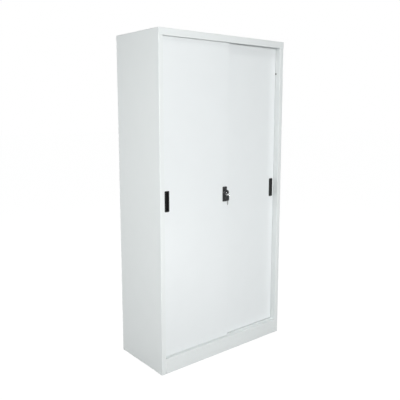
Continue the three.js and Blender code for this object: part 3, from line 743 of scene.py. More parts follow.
# %% The top, the floor and the plinth
RAIL_RETURN = 10
opening_left = jamb_right + SEAM
opening_right = WIDTH - opening_left
deck_low, deck_high = span("bottom_panel")
plinth_low, plinth_high = span("plinth")
PLINTH_LEDGE = 16
BACK_CORNER = 3


def top_panel():
    section = [(0, 0, top_low), (0, 0, HEIGHT), (0, DEPTH, HEIGHT), (0, DEPTH, HEIGHT - TOP_REAR_FLANGE)]
    mesh = strip(section, X * WIDTH, -Y)
    for place in (opening_left, opening_right):
        slice_faces(mesh, faces_at(mesh, 1, 0), 0, place)
    on_edge = lambda p: near(p.z, top_low) and opening_left < p.x < opening_right
    pull_rim(mesh, on_edge, Y * RAIL_RETURN)
    round_folds(mesh)
    for place in weld_row:
        press_weld(mesh, Vector((place, DEPTH, HEIGHT - TOP_REAR_FLANGE / 2 - 1)))
    return thicken(mesh)


def deck():
    sill, low = deck_high.z, deck_low.z
    left, right, rear = deck_low.x, deck_high.x, deck_high.y
    notch = post_depth + SEAM
    mesh = strip([(left, 0, sill), (left, rear, sill), (left, rear, low)], X * (right - left), Z)
    punch(mesh, (left - OUT, -OUT, sill - OUT), (opening_left, notch, sill + OUT))
    punch(mesh, (opening_right, -OUT, sill - OUT), (right + OUT, notch, sill + OUT))
    front, back = notch + NOTCH, rear - NOTCH
    for place in (front, back):
        slice_faces(mesh, faces_at(mesh, 2, sill), 1, place)
    on_side = lambda p: near(p.z, sill) and front < p.y < back and (near(p.x, left) or near(p.x, right))
    pull_rim(mesh, on_side, -Z * (sill - low))
    round_folds(mesh)
    return thicken(mesh)


def plinth():
    top, foot = plinth_high.z, plinth_high.y
    left, right = plinth_low.x, plinth_high.x
    section = [(left, PLINTH_LEDGE, top), (left, 0, top), (left, 0, 0), (left, foot, 0)]
    mesh = strip(section, X * (right - left), Z)
    round_folds(mesh)
    return thicken(mesh)


def back_panel():
    low, high = back_low, back_high
    mesh = plate(((low.x, low.z), (high.x, high.z), BACK_CORNER))
    return thicken(stand(mesh, FACING_FRONT, Y * low.y))


finished(top_panel(), "top_sheet", "top_panel")
finished(deck(), "floor_sheet", "bottom_panel")
finished(plinth(), "plinth_sheet", "plinth")
finished(back_panel(), "back_sheet", "back_panel")
print("sill at", round(deck_high.z, 1), "mm")

# %% [markdown]
# A door is a shallow pan: the face, four sides folded back, and a lip all round the back that stiffens it.
# The face starts as a plate, with the opening for the cup handle and, on the front door, the round hole of
# the lock. Its outline is pulled back for the sides, and once more inwards for the lips, which meet in
# mitres.

# %% The doors
handle_low, handle_high = span("left_door_handle")
right_handle_low, right_handle_high = span("right_door_handle")
plate_low, plate_high = span("lock_plate")
plug_low, plug_high = span("lock_plug")
barrel_low, barrel_high = span("lock_barrel")
DOOR_LIP = 12
HANDLE_RIM = 3.2
BARREL_RADIUS = 8
lock_x = (plug_low.x + plug_high.x) / 2
lock_z = (plug_low.z + plug_high.z) / 2
SLOT_SIDE = 1.5


def door_pan(low, high, handle, axles, lock_hole):
    size = high - low
    inset = HANDLE_RIM - SEAM
    cup = [(end.x - low.x + grow, end.z - low.z + grow) for end, grow in zip(handle, (inset, -inset))]
    holes = [cup]
    if lock_hole:
        holes.append(((lock_x - low.x, lock_z - low.z), BARREL_RADIUS + SEAM))
    mesh = plate(((0, 0), (size.x, size.z)), holes)
    outline = lambda p: any(near(p[i], v) for i, v in ((0, 0), (0, size.x), (1, 0), (1, size.z)))
    pull_rim(mesh, outline, -Z * size.y)
    rim = [e for e in mesh.edges if e.is_boundary and near(middle_of(e).z, -size.y)]
    for point in filter(is_point, pull_edges(mesh, rim, Vector())):
        point.co.x += DOOR_LIP if point.co.x < size.x / 2 else -DOOR_LIP
        point.co.y += DOOR_LIP if point.co.y < size.z / 2 else -DOOR_LIP
    face_along(mesh, faces_at(mesh, 2, 0)[0], Z)
    round_folds(mesh)
    stand(mesh, FACING_FRONT, low)
    for axle_low, axle_high in axles:
        start = Vector((axle_low.x - SLOT_SIDE, axle_low.y - SEAM, low.z - OUT))
        end = Vector((axle_high.x + SLOT_SIDE, axle_high.y + SEAM, low.z + OUT))
        punch(mesh, start, end)
    return thicken(mesh)


left_axles = [span(f"left_door_{end}_roller") for end in ("left", "right")]
right_axles = [span(f"right_door_{end}_roller") for end in ("left", "right")]
left_pan = door_pan(door_low, door_high, (handle_low, handle_high), left_axles, True)
right_pan = door_pan(rear_door_low, rear_door_high, (right_handle_low, right_handle_high), right_axles, False)
finished(left_pan, "left_door_pan", "left_door_skin")
finished(right_pan, "right_door_pan", "right_door_skin")
print("doors", [round(v, 1) for v in door_high - door_low])

# %% [markdown]
# Behind each face a hat section is glued and spot-welded, so that the big flat sheet doesn't drum.

# %% The stiffeners
STIFFENER_BRIM = 14


def stiffener(node):
    low, high = span(node)
    left, right = low.x + STIFFENER_BRIM, high.x - STIFFENER_BRIM
    front, crown = low.y, high.y - SHEET
    section = [
        (low.x, front, low.z),
        (left, front, low.z),
        (left, crown, low.z),
        (right, crown, low.z),
        (right, front, low.z),
        (high.x, front, low.z),
    ]
    mesh = strip(section, Z * (high.z - low.z), -Y)
    round_folds(mesh)
    return thicken(mesh)


for side in ("left", "right"):
    node = f"{side}_door_stiffener"
    finished(stiffener(node), f"{side}_door_hat_section", node)

# %% [markdown]
# A cup handle is moulded: a thin rim lies on the door, and behind it a cup is let into the pan. The cup's
# floor slopes from the shallow outer side to the deep inner side, where the wall is undercut for the
# fingertips. The hollow is the simple shape here, so it is drawn first, as a solid whose section is pulled
# along the handle and whose edges are rounded. Its skin, turned inside out, is the cup, and solidify makes
# the wall.

# %% The cup handles
CUP_WALL = 1.4
CUP_DEPTH = 10.5
CUP_SHALLOW = 3
CUP_UNDERCUT = 2.2
CUP_LIP = 1.8
HANDLE_CORNER = 4
HANDLE_PROUD = 1
MOULD_WALL = 1.0
END_ROUNDING = 1.6
FLOOR_ROUNDING = 0.9
MOUTH_ROUNDING = 0.6
RIM_ROUNDING = 0.5


def cup_handle(low, high, face):
    front = face - SEAM - HANDLE_PROUD
    inner = low.x + HANDLE_RIM + CUP_WALL
    outer = high.x - HANDLE_RIM - CUP_WALL
    bottom, top = low.z + HANDLE_RIM + CUP_WALL, high.z - HANDLE_RIM - CUP_WALL
    deep = face + CUP_DEPTH - CUP_WALL
    lip = outer - CUP_UNDERCUT
    section = [
        (inner, front, bottom),
        (inner, face + CUP_SHALLOW, bottom),
        (lip - CUP_UNDERCUT, deep, bottom),
        (outer, deep, bottom),
        (outer, face + CUP_LIP + CUP_UNDERCUT, bottom),
        (lip, face + CUP_LIP, bottom),
        (lip, front, bottom),
    ]
    mesh = bmesh.new()
    end = mesh.faces.new([mesh.verts.new(point) for point in section])
    pull_faces(mesh, [end], Z * (top - bottom))
    bmesh.ops.recalc_face_normals(mesh, faces=mesh.faces)
    bmesh.ops.delete(mesh, geom=faces_at(mesh, 1, front), context="FACES_ONLY")
    ends = [e for e in mesh.edges if near(middle_of(e).z, bottom) or near(middle_of(e).z, top)]
    bevel(mesh, [e for e in ends if not e.is_boundary], END_ROUNDING, 4)
    along = [e for e in mesh.edges if not e.is_boundary and e.calc_face_angle() > 0.4]
    along = [e for e in along if abs(e.verts[0].co.z - e.verts[1].co.z) > (top - bottom) / 2]
    bevel(mesh, along, FLOOR_ROUNDING, 3)
    bmesh.ops.reverse_faces(mesh, faces=mesh.faces)
    mouth = [e for e in mesh.edges if e.is_boundary]
    rim = rectangle(mesh, (low.x, low.z), (high.x, high.z), HANDLE_CORNER, 6)
    rim_face = next(f for f in mesh.faces if set(f.verts) == set(rim))
    outline = list(rim_face.edges)
    bmesh.ops.delete(mesh, geom=[rim_face], context="FACES_ONLY")
    for point in rim:
        point.co = Vector((point.co.x, front, point.co.y))
    bmesh.ops.triangle_fill(mesh, edges=mouth + outline, use_beauty=True, use_dissolve=False)
    mesh.normal_update()
    for plane in [f for f in mesh.faces if all(near(v.co.y, front, 0.001) for v in f.verts)]:
        if plane.normal.y > 0:
            plane.normal_flip()
    bevel(mesh, [e for e in mouth if e.is_valid], MOUTH_ROUNDING, 3)
    give_wall(mesh, MOULD_WALL)
    on_rim = lambda p: near(p.y, front, 0.01) and not within(p, low + X + Z, high - X - Z + Y * DEPTH)
    soften(mesh, RIM_ROUNDING, steps=3, chosen=on_rim)
    return mesh


# Both cups take the darker plastic, whose colour holds a painted shade.
left_cup = cup_handle(handle_low, handle_high, door_low.y)
finished(left_cup, "left_cup_handle", "left_door_handle", coat=cup_plastic_with_painted_shade)
mirror_low = Vector((WIDTH - right_handle_high.x, right_handle_low.y, right_handle_low.z))
mirror_high = Vector((WIDTH - right_handle_low.x, right_handle_high.y, right_handle_high.z))
right_cup = mirrored(cup_handle(mirror_low, mirror_high, rear_door_low.y))
finished(right_cup, "right_cup_handle", "right_door_handle", coat=cup_plastic_with_painted_shade)
print("handles", round(handle_high.z - handle_low.z), "mm long")

# %% [markdown]
# The lock is a bought cam lock behind a moulded plate. Everything round is turned, so a half section is drawn
# in a plane through the axis and spun round it; a full turn is merged where it closes.

# %% Turned pieces


def turned(profile, centre, axis, steps=TURN_STEPS):
    """The profile holds pairs of a radius and a place along the axis."""
    mesh = bmesh.new()
    axis = Vector(axis)
    out = Z if abs(axis.z) < 0.5 else X
    points = [mesh.verts.new(Vector(centre) + out * r + axis * along) for r, along in profile]
    line = [mesh.edges.new(pair) for pair in zip(points, points[1:])]
    if profile[0][0] > 0 and profile[-1][0] > 0:
        line.append(mesh.edges.new((points[-1], points[0])))
    bmesh.ops.spin(mesh, geom=points + line, cent=centre, axis=axis, angle=2 * math.pi, steps=steps,
                   use_merge=True)
    bmesh.ops.remove_doubles(mesh, verts=mesh.verts, dist=TINY / 2)
    bmesh.ops.recalc_face_normals(mesh, faces=mesh.faces)
    return mesh


def add(mesh, other):
    """Joins another mesh to this one."""
    data = bpy.data.meshes.new("joined")
    other.to_mesh(data)
    other.free()
    mesh.from_mesh(data)
    bpy.data.meshes.remove(data)
    return mesh


print("turned pieces have", TURN_STEPS, "sides")

# %% [markdown]
# The lock plate is moulded, with chamfered edges and a round hole in which the barrel shows.

# %% The lock plate
PLATE_CORNER = 3
PLATE_CHAMFER = 1.5
BORE_EASE = 0.3
PLATE_SCREW_DROP = 36


def lock_plate():
    low, high = plate_low, plate_high
    outline = ((low.x, low.z), (high.x, high.z), PLATE_CORNER, 5)
    mesh = plate(outline, [((lock_x, lock_z), BARREL_RADIUS + SEAM)])
    stand(mesh, FACING_FRONT, Y * low.y)
    give_wall(mesh, high.y - low.y)
    on_face = lambda p: near(p.y, low.y, 0.01)
    in_bore = lambda p: (p - Vector((lock_x, low.y, lock_z))).length < BARREL_RADIUS + 2
    soften(mesh, PLATE_CHAMFER, steps=4, chosen=lambda p: on_face(p) and not in_bore(p))
    soften(mesh, BORE_EASE, steps=2, chosen=lambda p: on_face(p) and in_bore(p))
    return mesh


finished(lock_plate(), "lock_plate_moulding", "lock_plate")
print("lock plate", round(plate_high.z - plate_low.z, 1), "mm high")

# %% [markdown]
# The barrel is turned: a rim that lies on the plate, and a tube through the door. The nut that clamps it
# behind the door face is a hexagon with its edges eased.

# %% The barrel
NUT_WIDTH = 24
NUT_DEPTH = 4
BORE_RADIUS = 6.1
BARREL_RIM = 1.2


def lock_barrel():
    rim_radius = BARREL_RADIUS + SEAM + BARREL_RIM
    front, rim_back, back = barrel_low.y, plate_low.y - SEAM, barrel_high.y
    profile = [
        (BORE_RADIUS, front + 0.5),
        (BORE_RADIUS + 0.4, front + 0.12),
        (BORE_RADIUS + 0.9, front),
        (rim_radius - 0.7, front),
        (rim_radius - 0.2, front + 0.15),
        (rim_radius, front + 0.5),
        (rim_radius, rim_back),
        (BARREL_RADIUS, rim_back),
        (BARREL_RADIUS, back - 0.4),
        (BARREL_RADIUS - 0.4, back),
        (BORE_RADIUS + 0.2, back),
        (BORE_RADIUS, back - 0.2),
    ]
    mesh = turned(profile, (lock_x, 0, lock_z), Y)
    nut = bmesh.new()
    circle(nut, NUT_WIDTH / math.sqrt(3), 6)
    circle(nut, BARREL_RADIUS + 0.05)
    fill_outlines(nut)
    face_up(nut)
    stand(nut, FACING_FRONT, (lock_x, door_low.y + SHEET + SEAM, lock_z))
    give_wall(nut, NUT_DEPTH)
    soften(nut, 0.35, steps=2, angle=40)
    return add(mesh, nut)


finished(lock_barrel(), "lock_barrel_turned", "lock_barrel")
print("lock axis at", round(lock_x, 1), round(lock_z, 1))

# %% [markdown]
# The plug turns in the barrel. Its face has the keyway, its back a square tail that drives the cam.
# The face is a round plate with a slot in it; the slot's edges are pulled in to make the keyway.

# %% The plug
PLUG_RADIUS = 6
BLADE_THICKNESS = 2
BLADE_HEIGHT = 8
KEY_FIT = 0.3
KEYWAY_DEPTH = 21
TAIL = 5
TAIL_LENGTH = 4
TAIL_SHOWS = 2.9


def lock_plug():
    side, rise = BLADE_THICKNESS / 2 + KEY_FIT, BLADE_HEIGHT / 2 + KEY_FIT
    length = plug_high.y - plug_low.y
    mesh = bmesh.new()
    circle(mesh, PLUG_RADIUS)
    rectangle(mesh, (-side, -rise), (side, rise), 0.4, 3)
    fill_outlines(mesh)
    face_up(mesh)
    slot = [e for e in mesh.edges if e.is_boundary and middle_of(e).length < PLUG_RADIUS - 1]
    rim = [e for e in mesh.edges if e.is_boundary and middle_of(e).length > PLUG_RADIUS - 1]
    for edges, depth in ((slot, KEYWAY_DEPTH), (rim, length - TAIL_SHOWS)):
        pulled = pull_edges(mesh, edges, -Z * depth)
        ends = [e for e in pulled if isinstance(e, bmesh.types.BMEdge) and e.is_boundary]
        bmesh.ops.edgeloop_fill(mesh, edges=ends)
    bmesh.ops.recalc_face_normals(mesh, faces=mesh.faces)
    soften(mesh, 0.25, steps=2, chosen=lambda p: near(p.z, 0))
    tail = bmesh.new()
    bmesh.ops.create_cube(tail, size=1)
    bmesh.ops.scale(tail, verts=tail.verts, vec=(TAIL, TAIL, TAIL_LENGTH))
    bmesh.ops.translate(tail, verts=tail.verts, vec=-Z * (length - TAIL_LENGTH / 2))
    soften(tail, 0.4, steps=2)
    add(mesh, tail)
    return stand(mesh, FACING_FRONT, (lock_x, plug_low.y, lock_z))


finished(lock_plug(), "lock_plug_turned", "lock_plug")
print("plug", round(plug_high.y - plug_low.y, 1), "mm long")

# %% [markdown]
# The cam and the strike are stamped steel. The cam is a plate with a round hub and a square hole; its outline
# is a circle and a rounded bar, joined. The strike is a small angle, a strip with one fold.

# %% The cam and the strike
cam_low, cam_high = span("lock_cam")
strike_low, strike_high = span("lock_strike")
HUB_RADIUS = 7
CAM_WIDTH = 10
STRIKE_SHEET = 1.2
STRIKE_BEND = 0.6


def lock_cam():
    reach = lock_x - cam_low.x
    half = CAM_WIDTH / 2
    neck = math.sqrt(HUB_RADIUS**2 - half**2)
    open_angle = math.asin(half / HUB_RADIUS)
    mesh = bmesh.new()
    start = mesh.verts.new((-neck, half, 0))
    hub = bmesh.ops.spin(mesh, geom=[start], cent=(0, 0, 0), axis=-Z, angle=2 * (math.pi - open_angle),
                         steps=32)["geom_last"]
    tip = mesh.verts.new((half - reach, half, 0))
    mesh.edges.new((start, tip))
    end = bmesh.ops.spin(mesh, geom=[tip], cent=(half - reach, 0, 0), axis=Z, angle=math.pi,
                         steps=12)["geom_last"]
    mesh.edges.new((next(filter(is_point, end)), next(filter(is_point, hub))))
    hole = TAIL / 2 + KEY_FIT
    rectangle(mesh, (-hole, -hole), (hole, hole), 0.5, 2)
    bmesh.ops.remove_doubles(mesh, verts=mesh.verts, dist=TINY)
    fill_outlines(mesh)
    face_up(mesh)
    stand(mesh, FACING_FRONT, (lock_x, cam_low.y, lock_z))
    return thicken(mesh, cam_high.y - cam_low.y, 0.25)


def lock_strike():
    low, high = strike_low, strike_high
    section = [(high.x, high.y, low.z), (low.x, high.y, low.z), (low.x, low.y, low.z)]
    mesh = strip(section, Z * (high.z - low.z), Y)
    round_folds(mesh, STRIKE_BEND, STRIKE_SHEET, steps=3)
    return thicken(mesh, STRIKE_SHEET, 0.2)


finished(lock_cam(), "lock_cam_stamping", "lock_cam")
finished(lock_strike(), "lock_strike_angle", "lock_strike")
print("cam reach", round(lock_x - cam_low.x, 1), "mm")

# %% [markdown]
# A key is two materials: a moulded bow and a steel blade, so it is two pieces that ride together. The bow is
# a plate with a hole for the ring and a sunken grip on both faces; the blade is a thin bar with cuts on one
# edge. The key in the lock and the spare one on the ring are the same model, in two sizes of bow.

# %% The bow of a key
key_low, key_high = span("key")
spare_low, spare_high = span("spare_key")
ring_low, ring_high = span("key_ring")
ring_middle = (ring_low + ring_high) / 2
RING_WIRE = (ring_high.y - ring_low.y) / 2
ring_radius = (ring_high.x - ring_low.x) / 2 - RING_WIRE
BOW_LENGTH = 23
BOW_CORNER = 8
BOW_HOLE = 2.6
BLADE_LENGTH = 20
SPARE_BLADE = 24
GRIP_CORNER = 3.5
GRIP_SINK = 0.5
GRIP_SLOPE = 0.5
BOW_ROUNDING = 1.5
HOLE_ROUNDING = 0.5
bow_thickness = key_high.x - key_low.x
hole_rise = ring_radius - math.sqrt(ring_radius**2 - (bow_thickness / 2) ** 2) + RING_WIRE + SEAM - BOW_HOLE


def key_bow(low, high, hole, grip_low, grip_high):
    """Low and high are the corners of the bow in the plane of y and z."""
    mesh = bmesh.new()
    rectangle(mesh, low, high, BOW_CORNER, 8)
    circle(mesh, BOW_HOLE, 32, hole)
    rectangle(mesh, grip_low, grip_high, GRIP_CORNER, 5)
    grip = [e for e in mesh.edges if within(middle_of(e), (*grip_low, 0), (*grip_high, 0), 0.1)]
    fill_outlines(mesh)
    bmesh.ops.edgeloop_fill(mesh, edges=grip)
    face_up(mesh)
    stand(mesh, FACING_RIGHT, X * (lock_x + bow_thickness / 2))
    give_wall(mesh, bow_thickness)
    outline = [e for e in mesh.edges if len(e.link_faces) == 2 and e.calc_face_angle() > 1]
    in_hole = lambda p: (p.yz - Vector(hole)).length < BOW_HOLE + 0.2
    inside = [e for e in outline if in_hole(middle_of(e))]
    bevel(mesh, [e for e in outline if e not in inside], BOW_ROUNDING, 4)
    bevel(mesh, inside, HOLE_ROUNDING, 2)
    for face in [f for f in mesh.faces if len(f.verts) > 12]:
        bmesh.ops.inset_region(mesh, faces=[face], thickness=GRIP_SLOPE, depth=-GRIP_SINK,
                               use_even_offset=True)
    return mesh


print("bow", round(bow_thickness, 1), "mm thick, its hole", round(hole_rise, 2), "mm off the ring's height")

# %% [markdown]
# The blade is one outline, from the bow to the tip and back along the cuts. Each cut is a short flat floor
# and a slope up to the next one, at its own depth.

# %% The blade of a key
CUT_DEPTHS = (1.2, 2.4, 1.6, 2.8, 0.8)


def key_blade(length, rise, collar):
    """Drawn along +x from the bow, with its height along y, and thickened along z."""
    half = BLADE_HEIGHT / 2
    mesh = bmesh.new()
    points = [(-1, -rise), (collar, -rise), (collar, -half), (length - half, -half), (length, 0)]
    points.append((length - half * 0.8, half * 0.8))
    first = collar + 3
    pitch = (length - half - first) / len(CUT_DEPTHS)
    for k, cut in reversed(list(enumerate(CUT_DEPTHS))):
        place = first + k * pitch
        points += [(place + pitch * 0.62, half - 0.2)]
        points += [(place + pitch * share, half - cut) for share in (0.4, 0.1)]
    points += [(first - 1, half), (collar, half), (collar, rise), (-1, rise)]
    mesh.faces.new([mesh.verts.new((x, y, 0)) for x, y in points])
    mesh.normal_update()
    bmesh.ops.translate(mesh, verts=mesh.verts, vec=Z * BLADE_THICKNESS / 2)
    give_wall(mesh, BLADE_THICKNESS)
    soften(mesh, 0.15, angle=50)
    return mesh


print("a blade has", len(CUT_DEPTHS), "cuts")

# %% [markdown]
# The key in the lock lies along the axis of the plug, with its bow in front. The spare one hangs from the
# ring with its blade down. Each blade is drawn flat and turned into its bow by a matrix.

# %% The two keys
GRIP_MARGIN = 3
GRIP_HALF = 6.5
HOLE_MARGIN = 2
SPARE_MARGIN = 3.5
SPARE_COLLAR = 1.6
bow_back = key_low.y + BOW_LENGTH
plug_face = plug_low.y
hole_y = ring_middle.y
bow = key_bow(
    (key_low.y, key_low.z),
    (bow_back, key_high.z),
    (hole_y, lock_z - hole_rise),
    (hole_y + BOW_HOLE + HOLE_MARGIN, lock_z - GRIP_HALF),
    (bow_back - GRIP_MARGIN, lock_z + GRIP_HALF),
)
finished(bow, "key_bow", "key")
collar_length = plug_face - KEY_FIT - bow_back
blade = key_blade(BLADE_LENGTH + plug_face - bow_back, BLADE_HEIGHT / 2 + 1, collar_length)
blade = stand(blade, FACING_RIGHT, (lock_x, bow_back, lock_z))
finished(blade, "key_blade", "key", slot="chrome", coat=key_steel)

ring_bottom = ring_middle.z - ring_radius
spare_head_low = spare_low.z + SPARE_BLADE
spare_bow = key_bow(
    (spare_low.y, spare_head_low),
    (spare_high.y, spare_high.z),
    (hole_y, ring_bottom + hole_rise),
    (spare_low.y + SPARE_MARGIN, spare_head_low + GRIP_MARGIN),
    (spare_high.y - SPARE_MARGIN, ring_bottom + hole_rise - BOW_HOLE - HOLE_MARGIN),
)
finished(spare_bow, "spare_key_bow", "spare_key")
ALONG_DOWN = Matrix(((0, 0, 1, 0), (0, 1, 0, 0), (-1, 0, 0, 0), (0, 0, 0, 1)))
spare_blade = key_blade(SPARE_BLADE, BLADE_HEIGHT / 2 + 0.8, SPARE_COLLAR)
spare_blade = stand(spare_blade, ALONG_DOWN, (lock_x, hole_y, spare_head_low))
finished(spare_blade, "spare_key_blade", "spare_key", slot="chrome", coat=key_steel)
print("bow", BOW_LENGTH, "mm long, spare blade", SPARE_BLADE, "mm")

# %% [markdown]
# The split ring is two turns of wire, so a small circle is spun twice round while it moves sideways by its
# own thickness on each turn. Both ends are then closed.

# %% The split ring
WIRE_RADIUS = 0.5
RING_STEPS = 96


def split_ring():
    mesh = bmesh.new()
    shift = WIRE_RADIUS * 2
    made = circle(mesh, WIRE_RADIUS, 10, (ring_middle.x + ring_radius, ring_middle.y - shift))
    bmesh.ops.translate(mesh, verts=made, vec=Z * ring_middle.z)
    bmesh.ops.spin(mesh, geom=mesh.verts[:] + mesh.edges[:], cent=ring_middle, axis=Y, angle=4 * math.pi,
                   steps=RING_STEPS, dvec=Y * (2 * shift / RING_STEPS))
    bmesh.ops.holes_fill(mesh, edges=[e for e in mesh.edges if e.is_boundary], sides=0)
    bmesh.ops.recalc_face_normals(mesh, faces=mesh.faces)
    return mesh


finished(split_ring(), "split_ring", "key_ring")
print("ring", round(2 * ring_radius), "mm across, two turns")

# %% [markdown]
# The doors hang on nothing: each stands on two grooved nylon wheels that ride on a rib of the bottom track.
# A wheel is turned, with its groove, chamfers and a recess in each face. Its bracket is a channel of thicker
# sheet, with the axle riveted across it.

# %% The rollers and their brackets
AXLE_RADIUS = 3
AXLE_PLAY = 0.1
GROOVE_WIDTH = 2.8
GROOVE_SLOPE = 0.7
TREAD_RADIUS = 8
BRACKET_SHEET = 1.2
RIVET_RISE = 0.9
RIVET_EASE = 0.3


def roller(low, high):
    middle = (low + high) / 2
    half = (high.y - low.y) / 2
    flange = (high.z - low.z) / 2
    bore = AXLE_RADIUS + AXLE_PLAY
    profile = [(bore, -half + 0.2), (bore + 0.2, -half), (bore + 1.4, -half), (bore + 1.7, -half + 1)]
    profile += [(TREAD_RADIUS - 1.4, -half + 1), (TREAD_RADIUS - 1.1, -half), (flange - 0.4, -half)]
    profile += [(flange, -half + 0.4), (flange, -GROOVE_WIDTH / 2 - GROOVE_SLOPE - 0.15)]
    profile += [(flange - 0.15, -GROOVE_WIDTH / 2 - GROOVE_SLOPE), (TREAD_RADIUS, -GROOVE_WIDTH / 2)]
    profile += [(r, -y) for r, y in reversed(profile)]
    return turned(profile, middle, Y)


def roller_bracket(low, high, axle):
    half = (high.y - low.y) / 2
    middle = (low.y + high.y) / 2
    section = [(low.x, low.y, low.z), (low.x, low.y, high.z), (low.x, high.y, high.z), (low.x, high.y, low.z)]
    mesh = strip(section, X * (high.x - low.x), -Y)
    round_folds(mesh, BRACKET_SHEET / 2, BRACKET_SHEET, steps=4)
    thicken(mesh, BRACKET_SHEET, 0.2)
    inside = half - BRACKET_SHEET
    head = inside + RIVET_RISE
    pin = [(0, -head), (AXLE_RADIUS - RIVET_EASE, -head), (AXLE_RADIUS, RIVET_EASE - head)]
    pin += [(r, -y) for r, y in reversed(pin)]
    return add(mesh, turned(pin, (axle.x, middle, axle.z), Y, 24))


for side in ("left", "right"):
    for end in ("left", "right"):
        wheel = f"{side}_door_{end}_roller"
        holder = f"{wheel}_bracket"
        low, high = span(wheel)
        finished(roller(low, high), f"{wheel}_turned", wheel)
        finished(roller_bracket(*span(holder), (low + high) / 2), f"{holder}_channel", holder)
print("rollers", round(high.z - low.z, 1), "mm across")

# %% [markdown]
# Screws are small turned heads with a cross in them. The head is sliced along both arms of the cross, and the
# faces between the slices are sunk. The same head is used wherever a screw shows.

# %% The screws
SCREW_RADIUS = 2.4
# Half the width of the cross, half its length and its depth, for a head of radius 1.
CROSS_SHARES = (0.16, 0.62, 0.35)


def cross_screw(place, axis, radius=SCREW_RADIUS, rise=0.9):
    """A domed head whose flat side is at place and whose top looks along the axis."""
    profile = [(0, -0.6), (radius * 0.7, -0.6), (radius, 0), (radius * 0.96, rise * 0.35)]
    profile += [(radius * 0.8, rise * 0.75), (radius * 0.5, rise * 0.97), (0, rise)]
    mesh = turned(profile, (0, 0, 0), Z, 16)
    arm, length, depth = (radius * share for share in CROSS_SHARES)
    above = lambda share: [f for f in mesh.faces if f.calc_center_median().z > rise * share]
    for spot in (-length, -arm, arm, length):
        for axis_index in (0, 1):
            slice_faces(mesh, above(0.5), axis_index, spot)
    in_cross = lambda p: min(abs(p.x), abs(p.y)) < arm and max(abs(p.x), abs(p.y)) < length
    sunk = [f for f in above(0.6) if in_cross(f.calc_center_median())]
    pull_faces(mesh, sunk, -Z * depth)
    bmesh.ops.delete(mesh, geom=sunk, context="FACES")
    turn = Z.rotation_difference(Vector(axis)).to_matrix().to_4x4()
    return stand(mesh, turn, place)


print("screw heads", 2 * SCREW_RADIUS, "mm across")

# %% [markdown]
# Above, a nylon block on each corner of a door runs between two lips of the top track. Two screws hold it, in
# holes that are wider than their heads.

# %% The guides
GUIDE_SCREW_SPACING = 18
GUIDE_SINK = 3
GUIDE_ROUNDING = 0.7
SCREW_PLAY = 0.6


def screw_places(low, high):
    middle = (low + high) / 2
    return [(middle.x + s * GUIDE_SCREW_SPACING / 2, middle.y) for s in (-1, 1)]


def top_guide(low, high):
    half = (high.y - low.y) / 2
    holes = [(place, SCREW_RADIUS + SCREW_PLAY) for place in screw_places(low, high)]
    mesh = plate(((low.x, low.y), (high.x, high.y), half / 2, 6), holes)
    bmesh.ops.translate(mesh, verts=mesh.verts, vec=Z * high.z)
    give_wall(mesh, high.z - low.z)
    soften(mesh, GUIDE_ROUNDING, steps=3)
    return mesh


for side in ("left", "right"):
    for end in ("left", "right"):
        block = f"{side}_door_{end}_top_guide"
        low, high = span(block)
        finished(top_guide(low, high), f"{block}_moulding", block)
        screws = bmesh.new()
        for place in screw_places(low, high):
            add(screws, cross_screw((*place, high.z - GUIDE_SINK), Z))
        finished(screws, f"{block}_screws", block, slot="zinc_clip", stands_for=False)
print("guides", round(high.x - low.x), "mm long")

# %% [markdown]
# Both tracks are profiles of one section, so the section is drawn as one face and pulled along the doorway.
# Both are painted with the cabinet. The ribs of the bottom track are rounded on top, where the rollers have
# worn the paint, so this piece gets its own coat with more wear on its edges. That coat is also paler than
# the cabinet's paint: painted light that brightens the strip of track under the doors.

# %% The tracks
top_track_low, top_track_high = span("top_track")
bottom_track_low, bottom_track_high = span("bottom_track")
LIP = 1
LIP_ROUNDING = 0.35
RIB = 2
RIB_ROUNDING = 0.7
TRACK_BASE = 0.8
TRACK_SCREWS = 6
door_pitch = rear_door_low.y - door_low.y


def pulled_section(section, low, high):
    mesh = bmesh.new()
    face = mesh.faces.new([mesh.verts.new((low, y, z)) for y, z in section])
    pull_faces(mesh, [face], X * (high - low))
    bmesh.ops.recalc_face_normals(mesh, faces=mesh.faces)
    return mesh


def top_track():
    low, high = top_track_low, top_track_high
    under = high.z - LIP
    section = [(low.y, high.z), (low.y, low.z)]
    for k in range(3):
        y = low.y + k * door_pitch
        section += [(y + LIP, low.z)] if k == 0 else [(y, under), (y, low.z), (y + LIP, low.z)]
        section += [(y + LIP, under)] if k < 2 else [(y + LIP, high.z)]
    mesh = pulled_section(section, low.x, high.x)
    soften(mesh, LIP_ROUNDING, steps=2, chosen=lambda p: near(p.z, low.z))
    return mesh


def bottom_track():
    low, high = bottom_track_low, bottom_track_high
    base = low.z + TRACK_BASE
    section = [(low.y, low.z), (low.y, base)]
    for door in (door_low, rear_door_low):
        rib = door.y + (door_high.y - door_low.y) / 2
        for side, ends in ((-RIB / 2, (base, high.z)), (RIB / 2, (high.z, base))):
            section += [(rib + side, z) for z in ends]
    section += [(high.y, base), (high.y, low.z)]
    mesh = pulled_section(section, low.x, high.x)
    soften(mesh, RIB_ROUNDING, steps=3, chosen=lambda p: near(p.z, high.z))
    return mesh


finished(top_track(), "top_track_profile", "top_track")
finished(bottom_track(), "bottom_track_profile", "bottom_track", coat=track_coat_with_wear_and_painted_light)
screws = bmesh.new()
for k in range(TRACK_SCREWS):
    x = bottom_track_low.x + (k + 0.5) * (bottom_track_high.x - bottom_track_low.x) / TRACK_SCREWS
    y = (bottom_track_low.y + bottom_track_high.y) / 2
    add(screws, cross_screw((x, y, bottom_track_low.z + TRACK_BASE), Z, 2.6, 0.6))
finished(screws, "bottom_track_screws", "bottom_track", slot="zinc_clip", stands_for=False)
print("track", round(bottom_track_high.x - bottom_track_low.x), "mm long")

# %% [markdown]
# Inside, four slotted uprights stand against the side walls. The slots are round-ended, so they are drawn as
# rounded rectangles and punched before the two sides are folded back to the wall.
# A clip is bent from one strip: it hooks up behind the slot, comes out, climbs, and turns out into a ledge.

